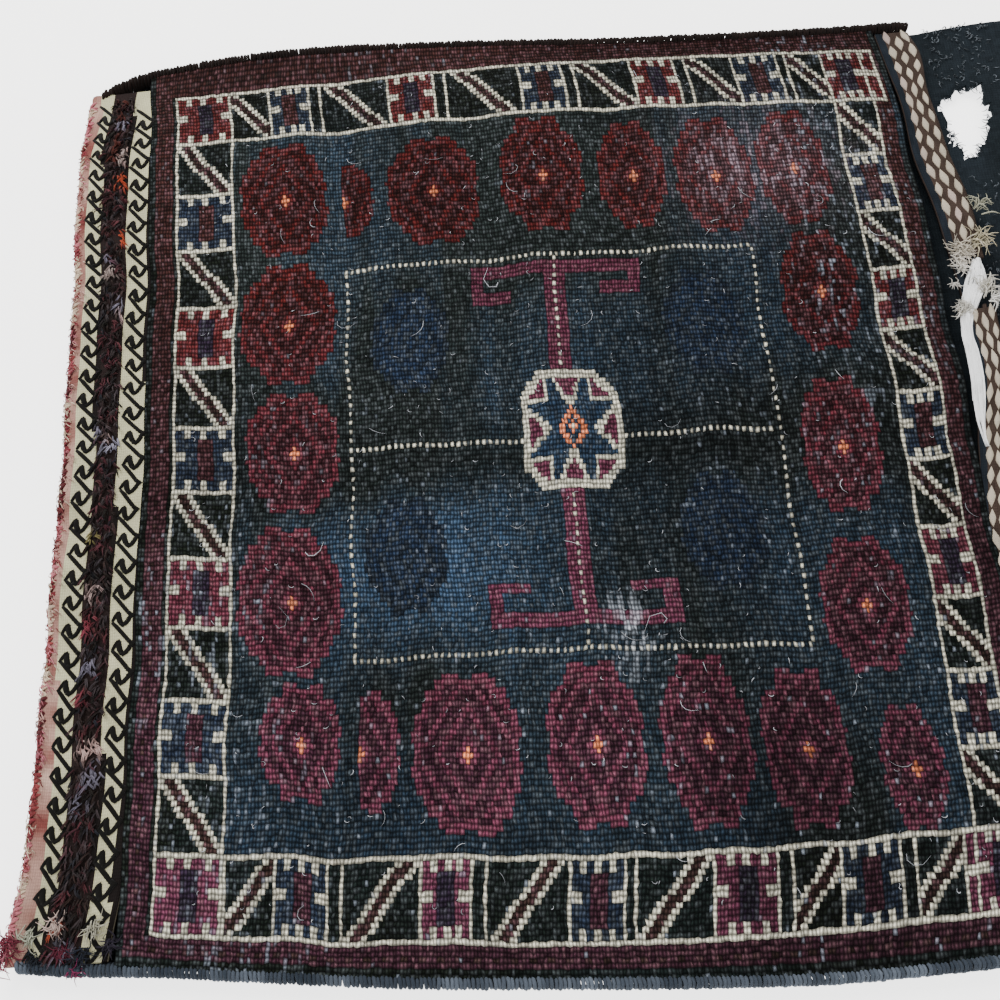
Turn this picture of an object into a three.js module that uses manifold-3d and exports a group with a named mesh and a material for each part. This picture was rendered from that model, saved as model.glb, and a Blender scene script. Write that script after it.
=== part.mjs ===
// A double saddle bag of one woven length, lying flat on its back.
// Millimetres. +X runs along the warps, from pouch A over the bridge to pouch B, and +Z is up.
// The origin is on the floor under the middle of the bridge.
import * as THREE from 'three';
import { mergeVertices } from 'three/addons/utils/BufferGeometryUtils.js';
import Module from 'manifold-3d';

// Driving dimensions
const clothWidth = 616;        // across the warps, over the side seams
const pouchDepth = 600;        // fold to mouth
const bridgeLength = 280;      // mouth to mouth
const backThickness = 4;       // plain weave
const faceThickness = 6;       // pile and its foundation
const foldGap = 12;            // clear height inside a pouch at its fold
const mouthGap = 9;            // clear height inside a pouch at its mouth
const seamShare = 0.25;        // how much of that height is left beside a side seam
const sideSlope = 70;          // how far in from the seam the face starts to come down
const seamWidth = 7;           // overcast yarn, across
const seamHeight = 14;         // overcast yarn, over both layers
const seamSetback = 4;         // the seam stops this far short of the mouth
const touchGap = 0.3;          // between a seam and the cloth it binds

// Places worked out from them
const halfLength = pouchDepth + bridgeLength / 2;
const mouthX = bridgeLength / 2;
const stripHalfWidth = clothWidth / 2 - seamWidth - touchGap;
const foldHeight = backThickness + foldGap + faceThickness;
const foldRadius = foldHeight / 2;
const foldCentreX = halfLength - foldRadius;
const acrossSteps = 18;        // stations of the cloth across its width

// Damage to the cloth beside pouch A's mouth
const bridgeHole = {
  centre: [-121, 217],
  half: [19, 28],
  waves: 3,
  raggedness: 0.12,
};
const mouthTear = {
  centre: [-140, 101],
  half: [20, 24],
  waves: 4,
  raggedness: 0.15,
};

const clothMaterial = new THREE.MeshStandardMaterial({ color: 0x1c2228, roughness: 0.95, metalness: 0 });
const seamMaterial = new THREE.MeshStandardMaterial({ color: 0x15171b, roughness: 0.9, metalness: 0 });

const wasm = await Module();
wasm.setup();

// A closed three.js geometry as a solid that can be cut
function toSolid(geometry) {
  const bare = geometry.clone();
  bare.deleteAttribute('normal');
  bare.deleteAttribute('uv');
  const merged = mergeVertices(bare, 1e-4);
  return new wasm.Manifold(new wasm.Mesh({
    numProp: 3,
    vertProperties: new Float32Array(merged.attributes.position.array),
    triVerts: new Uint32Array(merged.index.array),
  }));
}

function toGeometry(solid) {
  const mesh = solid.getMesh();
  const geometry = new THREE.BufferGeometry();
  geometry.setAttribute('position', new THREE.BufferAttribute(mesh.vertProperties, 3));
  geometry.setIndex(new THREE.BufferAttribute(mesh.triVerts, 1));
  geometry.computeVertexNormals();
  return geometry;
}

// The clear height in the middle of a pouch, at a distance x from the middle of the bridge
function clearHeight(x) {
  const towardsFold = THREE.MathUtils.clamp((x - mouthX) / (foldCentreX - mouthX), 0, 1);
  return THREE.MathUtils.lerp(mouthGap, foldGap, towardsFold);
}

// One end of the strip's long section: the back turns up round the fold and comes back as the face.
// side is -1 for pouch A and +1 for pouch B. The points run from the back's top surface at the
// mouth, round the inside of the fold, out to the face's mouth edge and back round the outside.
function pouchSection(side) {
  const foldSteps = 8;
  const runSteps = 10;
  const points = [];
  const runX = (t) => THREE.MathUtils.lerp(foldCentreX, mouthX, t);
  const faceLow = (x) => backThickness + clearHeight(x);
  points.push([mouthX, backThickness]);
  for (let i = 0; i <= foldSteps; i += 1) {
    const angle = -Math.PI / 2 + (Math.PI * i) / foldSteps;
    const centreZ = backThickness + foldGap / 2;
    points.push([foldCentreX + (foldGap / 2) * Math.cos(angle), centreZ + (foldGap / 2) * Math.sin(angle)]);
  }
  for (let i = 1; i <= runSteps; i += 1) {
    points.push([runX(i / runSteps), faceLow(runX(i / runSteps))]);
  }
  for (let i = runSteps; i >= 1; i -= 1) {
    points.push([runX(i / runSteps), faceLow(runX(i / runSteps)) + faceThickness]);
  }
  for (let i = 0; i <= foldSteps; i += 1) {
    const angle = Math.PI / 2 - (Math.PI * i) / foldSteps;
    points.push([foldCentreX + foldRadius * Math.cos(angle), foldRadius + foldRadius * Math.sin(angle)]);
  }
  return points.map(([x, z]) => new THREE.Vector2(side * x, z));
}

// How much of the pouch's clear height is left at a place across the cloth, from 1 down at the seams
function heightShare(y) {
  const inFromSeam = THREE.MathUtils.clamp((stripHalfWidth - Math.abs(y)) / sideSlope, 0, 1);
  const ease = Math.sin((inFromSeam * Math.PI) / 2);
  return THREE.MathUtils.lerp(seamShare, 1, ease);
}

// A blunt ragged outline, cut straight down through the cloth from z = low to z = high
function raggedCutter({ centre, half, waves, raggedness }, low, high) {
  const outline = new THREE.Shape();
  const steps = 28;
  for (let i = 0; i < steps; i += 1) {
    const angle = (2 * Math.PI * i) / steps;
    const swell = 1 + raggedness * Math.sin(waves * angle + 0.6) + 0.5 * raggedness * Math.sin(5 * angle);
    const x = centre[0] + half[0] * swell * Math.cos(angle);
    const y = centre[1] + half[1] * swell * Math.sin(angle);
    if (i === 0) {
      outline.moveTo(x, y);
    } else {
      outline.lineTo(x, y);
    }
  }
  const geometry = new THREE.ExtrudeGeometry(outline, { depth: high - low, bevelEnabled: false });
  geometry.translate(0, 0, low);
  return toSolid(geometry);
}

function wovenStrip() {
  const left = pouchSection(-1);
  const right = pouchSection(1).reverse();
  const section = new THREE.Shape([...left, ...right]);
  const geometry = new THREE.ExtrudeGeometry(section, {
    depth: 2 * stripHalfWidth,
    steps: acrossSteps,
    bevelEnabled: false,
  });
  geometry.rotateX(Math.PI / 2);
  geometry.translate(0, stripHalfWidth, 0);
  const position = geometry.attributes.position;
  for (let i = 0; i < position.count; i += 1) {
    const z = position.getZ(i);
    const gap = clearHeight(Math.abs(position.getX(i)));
    const raised = THREE.MathUtils.clamp((z - backThickness) / gap, 0, 1);
    position.setZ(i, z - raised * gap * (1 - heightShare(position.getY(i))));
  }
  const hole = raggedCutter(bridgeHole, -1, backThickness + 1);
  const tear = raggedCutter(mouthTear, backThickness + 2, foldHeight + 1);
  return toGeometry(toSolid(geometry).subtract(hole).subtract(tear));
}

// Overcast yarn over both layers: a rounded bar along one side of a pouch
function sideSeam() {
  const radius = seamWidth / 2 - 0.01;
  const outline = new THREE.Shape();
  outline.moveTo(-radius, radius);
  outline.absarc(0, radius, radius, Math.PI, 2 * Math.PI, false);
  outline.absarc(0, seamHeight - radius, radius, 0, Math.PI, false);
  const geometry = new THREE.ExtrudeGeometry(outline, {
    depth: pouchDepth - foldRadius - seamSetback,
    bevelEnabled: false,
    curveSegments: 6,
  });
  geometry.rotateX(Math.PI / 2);
  geometry.rotateZ(Math.PI / 2);
  return geometry;
}

const bag = new THREE.Group();

const strip = new THREE.Mesh(wovenStrip(), clothMaterial);
strip.name = 'woven_strip';
bag.add(strip);

const seamStartX = { a: -halfLength + foldRadius, b: mouthX + seamSetback };
const seamY = { far: clothWidth / 2 - seamWidth / 2, near: -clothWidth / 2 + seamWidth / 2 };
for (const [pouch, x] of Object.entries(seamStartX)) {
  for (const [side, y] of Object.entries(seamY)) {
    const seam = new THREE.Mesh(sideSeam(), seamMaterial.clone());
    seam.name = `side_seam_${pouch}_${side}`;
    seam.position.set(x, y, 0);
    bag.add(seam);
  }
}

export default bag;
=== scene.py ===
import math

import bmesh
import bpy
import numpy as np
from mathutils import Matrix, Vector


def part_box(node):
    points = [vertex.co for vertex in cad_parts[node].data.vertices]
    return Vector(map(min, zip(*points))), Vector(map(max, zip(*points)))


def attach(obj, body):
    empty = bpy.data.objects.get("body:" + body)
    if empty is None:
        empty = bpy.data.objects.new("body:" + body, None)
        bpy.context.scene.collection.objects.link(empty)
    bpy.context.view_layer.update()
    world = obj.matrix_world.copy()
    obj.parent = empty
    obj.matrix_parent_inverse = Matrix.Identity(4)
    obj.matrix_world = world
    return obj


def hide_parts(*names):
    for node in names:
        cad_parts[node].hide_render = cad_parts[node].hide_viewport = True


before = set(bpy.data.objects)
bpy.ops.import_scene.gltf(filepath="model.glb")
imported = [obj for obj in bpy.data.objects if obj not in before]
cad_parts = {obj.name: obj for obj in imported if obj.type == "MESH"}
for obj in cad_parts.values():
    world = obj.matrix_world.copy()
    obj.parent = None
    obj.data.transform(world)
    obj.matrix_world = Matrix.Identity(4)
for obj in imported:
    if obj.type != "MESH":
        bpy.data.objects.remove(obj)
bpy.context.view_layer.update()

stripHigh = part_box("woven_strip")[1]
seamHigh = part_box("side_seam_a_far")[1]

# Sizes in metres. A pouch is laid out by p, from the middle of its border towards the mouth,
# and q, across the cloth, which is the frame's Y.
bag = {
    "halfLength": stripHigh.x,
    "seamSetback": 0.004,
    "middleToMouth": 0.288,
    "middleToFold": 0.301,
    "faceEnd": 0.2875,
    "backTop": 0.004,
    "faceThickness": 0.006,
    "foldGap": 0.012,
    "mouthGap": 0.009,
    "seamShare": 0.25,
    "sideSlope": 0.07,
    "besideSeam": 0.006,
}
bag["mouthX"] = -seamHigh.x - bag["seamSetback"]
bag["middleX"] = bag["mouthX"] + bag["middleToMouth"]


def srgb(text):
    # "3f1a24" to linear red, green, blue
    parts = np.array([int(text[i:i + 2], 16) for i in (0, 2, 4)]) / 255
    return np.where(parts < 0.04045, parts / 12.92, ((parts + 0.055) / 1.055) ** 2.4)


def through(points):
    # a smooth curve through given points, as a function of the first number
    at, value = np.array(points, float).T
    slope = np.gradient(value, at)

    def curve(x):
        x = np.clip(x, at[0], at[-1])
        i = np.clip(np.searchsorted(at, x) - 1, 0, len(at) - 2)
        h = at[i + 1] - at[i]
        t = (x - at[i]) / h
        a = (2 * t**3 - 3 * t**2 + 1) * value[i] + (t**3 - 2 * t**2 + t) * h * slope[i]
        b = (-2 * t**3 + 3 * t**2) * value[i + 1] + (t**3 - t**2) * h * slope[i + 1]
        return a + b

    return curve


def softNoise(shape, cells, seed):
    # smooth random field from 0 to 1, with this many cells along each side
    rng = np.random.default_rng(seed)
    knots = rng.random((cells[0] + 2, cells[1] + 2))
    a = np.linspace(0, cells[0], shape[0])
    b = np.linspace(0, cells[1], shape[1])
    i, j = np.minimum(a.astype(int), cells[0]), np.minimum(b.astype(int), cells[1])
    s, t = a - i, b - j
    s, t = (s * s * (3 - 2 * s))[:, None], (t * t * (3 - 2 * t))[None, :]
    low = knots[np.ix_(i, j)] * (1 - s) + knots[np.ix_(i + 1, j)] * s
    high = knots[np.ix_(i, j + 1)] * (1 - s) + knots[np.ix_(i + 1, j + 1)] * s
    return low * (1 - t) + high * t


# The cloth's edges, the border's lines and the fold's outline, across or along a pouch
farEdge = through([(-0.330, 0.282), (-0.314, 0.293), (-0.287, 0.308), (-0.234, 0.318), (-0.137, 0.3225),
                   (-0.084, 0.320), (-0.010, 0.315), (0.062, 0.309), (0.134, 0.305), (0.206, 0.302),
                   (0.288, 0.300)])
nearEdge = through([(-0.330, -0.287), (-0.294, -0.291), (-0.240, -0.294), (-0.183, -0.299),
                    (-0.098, -0.306), (-0.016, -0.310), (0.065, -0.313), (0.145, -0.314),
                    (0.225, -0.310), (0.288, -0.306)])
borderFar = through([(-0.265, 0.2893), (-0.200, 0.2905), (-0.058, 0.2931), (0.001, 0.2941), (0.081, 0.2921),
                     (0.154, 0.2891), (0.217, 0.2851), (0.265, 0.2810)])
borderNear = through([(-0.265, -0.2722), (-0.200, -0.2772), (-0.143, -0.2832), (-0.089, -0.2852),
                      (-0.005, -0.2903), (0.077, -0.2913), (0.147, -0.2893), (0.265, -0.2822)])
bow = through([(-0.31, -0.0015), (-0.20, 0.0028), (-0.05, 0.0035), (0.07, 0.0015), (0.20, -0.0020),
               (0.31, -0.0095)])
foldEdge = through([(-0.300, -0.329), (-0.259, -0.322), (-0.226, -0.317), (-0.110, -0.3132), (0.0, -0.3122),
                    (0.170, -0.314), (0.268, -0.316), (0.300, -0.314)])


def headroom(p, q):
    # clear height inside a pouch
    depth = bag["middleToMouth"] + bag["middleToFold"]
    towardsFold = np.clip((bag["middleToMouth"] - p) / depth, 0, 1)
    fromSeam = np.minimum(farEdge(p) - q, q - nearEdge(p)) - bag["besideSeam"]
    inside = np.clip(fromSeam / bag["sideSlope"], 0, 1)
    share = bag["seamShare"] + (1 - bag["seamShare"]) * np.sin(inside * math.pi / 2)
    return share * (bag["mouthGap"] + (bag["foldGap"] - bag["mouthGap"]) * towardsFold)


def faceTop(p, q):
    # height of the pile's tips, with the soft rolls that limp cloth lies in
    room = headroom(p, q)
    roll = (0.0012 * np.sin(p * 17 + q * 5 + 0.4) + 0.0010 * np.sin(q * 23 - p * 6 + 1.9)
            - 0.0026 * np.exp(-((q + 0.022 - 0.04 * p) / 0.016) ** 2)
            + 0.0016 * np.exp(-((q - 0.022 - 0.04 * p) / 0.020) ** 2)
            - 0.0022 * np.exp(-((p - 0.122 - 0.03 * q) / 0.012) ** 2 - ((q + 0.135) / 0.09) ** 2)
            + 0.0014 * np.exp(-((p - 0.150) / 0.016) ** 2 - ((q + 0.12) / 0.11) ** 2)
            - 0.0018 * np.exp(-((p + 0.145 - 0.06 * q) / 0.020) ** 2))
    rippleShare = np.clip(room / bag["mouthGap"], 0, 1)
    return bag["backTop"] + room + bag["faceThickness"] + roll * rippleShare


def outerTop(p, q):
    # the same, carried round the fold's upper quarter
    height = faceTop(p, q)
    radius = height / 2
    fromFold = np.clip(p - foldEdge(q), 0, None)
    share = np.clip(1 - fromFold / radius, 0, 1)
    return radius + radius * np.sqrt(np.clip(1 - share**2, 0, 1))


def sway(p, q):
    # the rows and warps aren't quite straight
    dp = 0.0008 * np.sin(q * 52 + 1.1) + 0.0005 * np.sin(q * 97 + p * 20)
    dq = 0.0011 * np.sin(p * 71 + 0.6) * (0.5 + 0.5 * np.sin(p * 11 + q * 9))
    dq = dq + 0.0006 * np.sin(p * 128 + q * 12)
    calm = np.clip((0.300 - np.abs(q)) / 0.02, 0, 1)
    return p + dp, q + dq * calm


def place(pouch, p, q, z):
    # pouch -1 is A, whose mouth is towards +X, and +1 is its mirror image B
    p, q = sway(np.asarray(p, float), np.asarray(q, float))
    x = pouch * (bag["middleX"] - p)
    return np.stack(np.broadcast_arrays(x, q, z), axis=-1)


def addNode(tree, kind, settings=(), inputs=()):
    # inputs are values, or sockets to link from
    node = tree.nodes.new(kind)
    for name, value in dict(settings).items():
        setattr(node, name, value)
    for name, value in dict(inputs).items():
        if isinstance(value, bpy.types.NodeSocket):
            tree.links.new(value, node.inputs[name])
        else:
            node.inputs[name].default_value = value
    return node


def newGroup(kind, name, inputs, outputs):
    tree = bpy.data.node_groups.new(name, kind)
    for label, socketType, value in inputs:
        socket = tree.interface.new_socket(label, in_out="INPUT", socket_type=socketType)
        if value is not None:
            socket.default_value = value
    for label, socketType in outputs:
        tree.interface.new_socket(label, in_out="OUTPUT", socket_type=socketType)
    return tree, addNode(tree, "NodeGroupInput").outputs, addNode(tree, "NodeGroupOutput").inputs


def math1(tree, operation, a, b=0.0, c=0.0):
    return addNode(tree, "ShaderNodeMath", {"operation": operation}, {0: a, 1: b, 2: c}).outputs[0]


def makeWool():
    # uneven dye and fibre shadow over a base colour, and a height for bump
    tree, inp, out = newGroup("ShaderNodeTree", "woolFibre", [
        ("Colour", "NodeSocketColor", None), ("Place", "NodeSocketVector", None),
        ("Fibres per metre", "NodeSocketFloat", 900.0), ("Contrast", "NodeSocketFloat", 0.5),
        ("Patches per metre", "NodeSocketFloat", 30.0), ("Patchiness", "NodeSocketFloat", 0.2)],
        [("Colour", "NodeSocketColor"), ("Height", "NodeSocketFloat")])
    fibre = addNode(tree, "ShaderNodeTexNoise", (), {
        "Vector": inp["Place"], "Scale": inp["Fibres per metre"], "Detail": 2.0, "Roughness": 0.6})
    patch = addNode(tree, "ShaderNodeTexNoise", (), {
        "Vector": inp["Place"], "Scale": inp["Patches per metre"], "Detail": 1.0})
    fibreOff = math1(tree, "SUBTRACT", fibre.outputs[0], 0.5)
    patchOff = math1(tree, "SUBTRACT", patch.outputs[0], 0.5)
    gain = math1(tree, "MULTIPLY_ADD", fibreOff, inp["Contrast"], 1.0)
    gain = math1(tree, "MULTIPLY_ADD", patchOff, inp["Patchiness"], gain)
    scaled = addNode(tree, "ShaderNodeVectorMath", {"operation": "SCALE"},
                     {0: inp["Colour"], "Scale": gain})
    tree.links.new(scaled.outputs[0], out["Colour"])
    tree.links.new(fibre.outputs[0], out["Height"])
    return tree


def makeThreads():
    # relief of a woven or knotted surface, from a UV map counted in threads
    tree, inp, out = newGroup("ShaderNodeTree", "threadRelief", [
        ("Threads", "NodeSocketVector", None), ("Rib depth", "NodeSocketFloat", 0.6),
        ("Row depth", "NodeSocketFloat", 0.3), ("Wander", "NodeSocketFloat", 0.35)],
        [("Height", "NodeSocketFloat")])
    wobble = addNode(tree, "ShaderNodeTexNoise", (),
                     {"Vector": inp["Threads"], "Scale": 0.35, "Detail": 1.0})
    centred = math1(tree, "SUBTRACT", wobble.outputs[0], 0.5)
    shift = math1(tree, "MULTIPLY", centred, inp["Wander"])
    parts = addNode(tree, "ShaderNodeSeparateXYZ", (), {0: inp["Threads"]})
    waves = []
    for axis in ("X", "Y"):
        moved = math1(tree, "ADD", parts.outputs[axis], shift)
        turn = math1(tree, "MULTIPLY", moved, 2 * math.pi)
        waves.append(math1(tree, "MULTIPLY_ADD", math1(tree, "COSINE", turn), -0.5, 0.5))
    rises = []
    for wave, depth in zip(waves, (inp["Row depth"], inp["Rib depth"])):
        floor = math1(tree, "SUBTRACT", 1.0, depth)
        rises.append(math1(tree, "MULTIPLY_ADD", wave, depth, floor))
    tree.links.new(math1(tree, "MULTIPLY", rises[0], rises[1]), out["Height"])
    return tree


woolFibre = makeWool()
threadRelief = makeThreads()


def clothMaterial(name, fibres, threads=None, bump=0.5, distance=0.001, sheen=0.0, shade=0.0):
    # wool in the colours of the yarnColour attribute, with painted shade from the thread relief in the gaps
    # between threads and knots
    material = bpy.data.materials.new(name)
    material.use_nodes = True
    tree = material.node_tree
    shader = tree.nodes["Principled BSDF"]
    shader.inputs["Roughness"].default_value = 0.92
    shader.inputs["Sheen Weight"].default_value = sheen
    shader.inputs["Sheen Roughness"].default_value = 0.5
    shader.inputs["Specular IOR Level"].default_value = 0.08
    where = addNode(tree, "ShaderNodeTexCoord").outputs["Object"]
    colour = addNode(tree, "ShaderNodeAttribute", {"attribute_name": "yarnColour"}).outputs["Color"]
    fibre = addNode(tree, "ShaderNodeGroup", {"node_tree": woolFibre},
                    {"Colour": colour, "Place": where, **fibres})
    height = fibre.outputs["Height"]
    colour = fibre.outputs["Colour"]
    if threads:
        uv = addNode(tree, "ShaderNodeUVMap", {"uv_map": "threads"}).outputs["UV"]
        relief = addNode(tree, "ShaderNodeGroup", {"node_tree": threadRelief}, {"Threads": uv, **threads})
        height = math1(tree, "MULTIPLY_ADD", height, 0.35, relief.outputs["Height"])
        # painted shade: the colour is darkened in the gaps between knots and threads and lightened on their
        # tops, following the relief's height
        if shade:
            middle = (1 - threads["Rib depth"] / 2) * (1 - threads["Row depth"] / 2)
            lit = math1(tree, "MULTIPLY_ADD", relief.outputs["Height"], shade / middle, 1 - shade)
            node = addNode(tree, "ShaderNodeVectorMath", {"operation": "SCALE"}, {0: colour, "Scale": lit})
            colour = node.outputs[0]
    tree.links.new(colour, shader.inputs["Base Color"])
    bumpNode = addNode(tree, "ShaderNodeBump", (),
                       {"Strength": bump, "Distance": distance, "Height": height})
    tree.links.new(bumpNode.outputs["Normal"], shader.inputs["Normal"])
    return material


def link(name, mesh):
    piece = bpy.data.objects.new(name, mesh)
    bpy.context.scene.collection.objects.link(piece)
    return piece


def clothShell(name, outer, inner, outerColour, uv, material, flip, keep=None, step=1):
    # A closed thin cloth between two grids of places. keep leaves out cells, and step makes the
    # inner side coarser. Colours are per cell and UVs per point of the outer side.
    n, m = outer.shape[:2]
    index = np.arange(n * m).reshape(n, m)
    if keep is None:
        keep = np.ones((n - 1, m - 1), bool)
    inRows, inCols = np.arange(0, n, step), np.arange(0, m, step)
    innerPoints = inner[np.ix_(inRows, inCols)].reshape(-1, 3)
    inIndex = n * m + np.arange(len(innerPoints)).reshape(len(inRows), len(inCols))
    top = np.stack([index[:-1, :-1], index[:-1, 1:], index[1:, 1:], index[1:, :-1]], -1)[keep]
    inKeep = keep if step == 1 else np.ones((len(inRows) - 1, len(inCols) - 1), bool)
    under = np.stack([inIndex[:-1, :-1], inIndex[1:, :-1], inIndex[1:, 1:], inIndex[:-1, 1:]], -1)[inKeep]
    walls = []
    if step == 1:
        ahead = {(a, b) for quad in top.tolist() for a, b in zip(quad, quad[1:] + quad[:1])}
        walls = [[b, a, a + n * m, b + n * m] for a, b in sorted(ahead) if (b, a) not in ahead]
    else:
        for i in range(len(inCols) - 1):
            run = list(range(inCols[i], inCols[i + 1] + 1))
            walls.append([index[0, k] for k in reversed(run)] + [inIndex[0, i], inIndex[0, i + 1]])
            walls.append([index[-1, k] for k in run] + [inIndex[-1, i + 1], inIndex[-1, i]])
        for i in range(len(inRows) - 1):
            run = list(range(inRows[i], inRows[i + 1] + 1))
            walls.append([index[k, 0] for k in run] + [inIndex[i + 1, 0], inIndex[i, 0]])
            walls.append([index[k, -1] for k in reversed(run)] + [inIndex[i, -1], inIndex[i + 1, -1]])
    faces = top.tolist() + under.tolist() + [[int(v) for v in wall] for wall in walls]
    if flip:
        faces = [face[::-1] for face in faces]
    points = np.concatenate([outer.reshape(-1, 3), innerPoints])
    mesh = bpy.data.meshes.new(name)
    mesh.from_pydata(points.tolist(), [], faces)
    mesh.materials.append(material)
    corners = sum(len(face) for face in faces)
    colours = np.empty((corners, 4), np.float32)
    colours[:] = (*outerColour.reshape(-1, 3).mean(0), 1)
    colours[:4 * len(top), :3] = np.repeat(outerColour[keep], 4, axis=0)
    tint = mesh.color_attributes.new("yarnColour", "FLOAT_COLOR", "CORNER")
    tint.data.foreach_set("color", colours.ravel())
    flat = np.concatenate([uv.reshape(-1, 2), uv[np.ix_(inRows, inCols)].reshape(-1, 2)])
    vertexOf = np.empty(corners, np.int32)
    mesh.loops.foreach_get("vertex_index", vertexOf)
    mesh.uv_layers.new(name="threads").data.foreach_set("uv", flat[vertexOf].astype(np.float32).ravel())
    mesh.polygons.foreach_set("use_smooth", np.ones(len(faces), bool))
    used = np.zeros(len(points), bool)
    used[vertexOf] = True
    if not used.all():
        dropLoose(mesh, used)
    mesh.update()
    return link(name, mesh)


def dropLoose(mesh, used):
    work = bmesh.new()
    work.from_mesh(mesh)
    work.verts.ensure_lookup_table()
    bmesh.ops.delete(work, geom=[work.verts[i] for i in np.nonzero(~used)[0]], context="VERTS")
    work.to_mesh(mesh)
    work.free()


def keepPiece(piece, node="woven_strip"):
    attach(piece, "root")
    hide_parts(node)
    return piece


print("stage: cloth functions and materials ready")

# Knots are counted by row, from the border's line by the fold, and across, from its far line.
pile = {
    "firstRow": -9,
    "lastRow": 246,
    "firstKnot": -6,
    "lastKnot": 189,
    "borderRows": 238,
    "borderKnots": 182,
    "cell": 14,
    "foldStrip": (0, 19),
    "mouthStrip": (225, 238),
    "farStrip": (0, 14),
    "nearStrip": (168, 182),
    "rowsFrom": -0.2405,
    "rowsTo": 0.2472,
    "depth": 0.004,
    "wander": 0.00028,
    "wear": {"a": 1.0, "b": 0.55},
    "seed": 7,
}
wool = {
    "ground": "181d1c",
    "navy": "1a222d",
    "cream": "a8a494",
    "madder": "481918",
    "madderDark": "2a1110",
    "wine": "502736",
    "orange": "c87350",
    "indigo": "202734",
    "maroon": "331d1b",
    "brown": "2b1f1c",
    "purple": "261d2a",
    "fadedBlue": "1c2636",
    "starBlue": "222f3f",
    "black": "10140f",
    "boxRed": "522221",
}
ageingAndShade = {
    "blueGround": "2f4156",
    "blueBlack": "1c2a30",
    "nearRed": "5a2f41",
    "nearMaroon": "321c29",
    # greyTip and redTip colour the painted glint on the tips of random knots
    "greyTip": "646a6d",
    "redTip": "8c646c",
    "fleck": "7d8590",
    "scuff": "85757f",
    "bareWarp": "a9afb8",
    "dash": "8c95a2",
    # across the pile, the ground's lightness: partly uneven dye, partly painted shade, darkest at knot 93
    # along the crease across the middle
    "across": (0, 50, 80, 93, 104, 135, 160, 189),
    "groundToneAndShade": (1.1, 1.0, 0.80, 0.55, 0.80, 0.95, 0.72, 0.62),
    "dyedAcross": (0, 40, 80, 116, 150, 189),
    "dyedLight": (0.62, 0.66, 0.80, 0.95, 1.05, 0.80),
}
inkNames = list(wool)
inkColours = np.array([srgb(wool[name]) for name in inkNames])


def newChart():
    shape = (pile["lastRow"] - pile["firstRow"], pile["lastKnot"] - pile["firstKnot"])
    rows = np.arange(pile["firstRow"], pile["lastRow"])[:, None] + np.zeros(shape, int)
    knots = np.arange(pile["firstKnot"], pile["lastKnot"])[None, :] + np.zeros(shape, int)
    ink = np.full(shape, inkNames.index("ground"))
    return {"ink": ink, "u": rows, "v": knots}


def paint(chart, where, name):
    chart["ink"][where] = inkNames.index(name)


def block(chart, u0, u1, v0, v1, name):
    u, v = chart["u"], chart["v"]
    paint(chart, (u >= u0) & (u < u1) & (v >= v0) & (v < v1), name)


def notchedBox(chart, u0, u1, v0, v1, name, heart):
    # a box with cream teeth on all its sides and a bar in its middle
    wide, tall = u1 - u0, v1 - v0
    block(chart, u0, u1, v0, v1, name)
    for at in (u0 + round(0.16 * wide), u0 + (wide - 1) // 2, u1 - 4):
        block(chart, at, at + 2, v0, v0 + 2, "cream")
        block(chart, at, at + 2, v1 - 2, v1, "cream")
    middle = v0 + tall // 2 - 1
    block(chart, u0, u0 + 3, middle, middle + 2, "cream")
    block(chart, u1 - 3, u1, middle, middle + 2, "cream")
    centre = (u0 + u1) // 2
    block(chart, centre - 2, centre + 3, v0 + 2, v1 - 2, heart)


def leaningBands(chart, u0, u1, v0, v1, lean):
    # two thick cream lines with a brown stripe between, crossing a dark cell
    block(chart, u0, u1, v0, v1, "black")
    u, v = chart["u"], chart["v"]
    inside = (u >= u0) & (u < u1) & (v >= v0) & (v < v1)
    down = (v - v0 + 0.5) / (v1 - v0) - 0.5
    across = u + 0.5 - (u0 + u1) / 2 - lean * down * 14.5
    paint(chart, inside & (np.abs(across) < 1.7), "brown")
    for side in (-2.6, 2.6):
        paint(chart, inside & (np.abs(across - side) < 1.0), "cream")


def borderStrip(chart, spans, v0, v1, lean, boxHeart):
    # spans are (kind, rows) from the fold towards the mouth; each ends in a cream line
    at = 0
    for kind, rows in spans:
        end = at + rows
        if kind == "lean":
            leaningBands(chart, at + 1, end, v0 + 1, v1, lean)
        elif kind == "gap":
            block(chart, at + 1, end, v0 + 1, v1, "black")
        else:
            notchedBox(chart, at + 1, end, v0 + 1, v1, kind, boxHeart[kind])
        block(chart, at, at + 1, v0, v1 + 1, "cream")
        at = end
    block(chart, 0, at + 1, v0, v0 + 1, "cream")
    block(chart, 0, at + 1, v1, v1 + 1, "cream")
    block(chart, at, at + 1, v0, v1 + 1, "cream")


def sideStrip(chart, u0, u1, kinds, boxHeart):
    for i, kind in enumerate(kinds):
        v0, v1 = pile["cell"] * i, pile["cell"] * (i + 1)
        if kind == "lean":
            leaningBands(chart, u0 + 1, u1, v0 + 1, v1, 1)
        else:
            notchedBox(chart, u0 + 1, u1, v0 + 1, v1, kind, boxHeart[kind])
        block(chart, u0, u1 + 1, v0, v0 + 1, "cream")
    block(chart, u0, u1 + 1, v1, v1 + 1, "cream")
    block(chart, u0, u0 + 1, 0, v1 + 1, "cream")
    block(chart, u1, u1 + 1, 0, v1 + 1, "cream")


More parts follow.
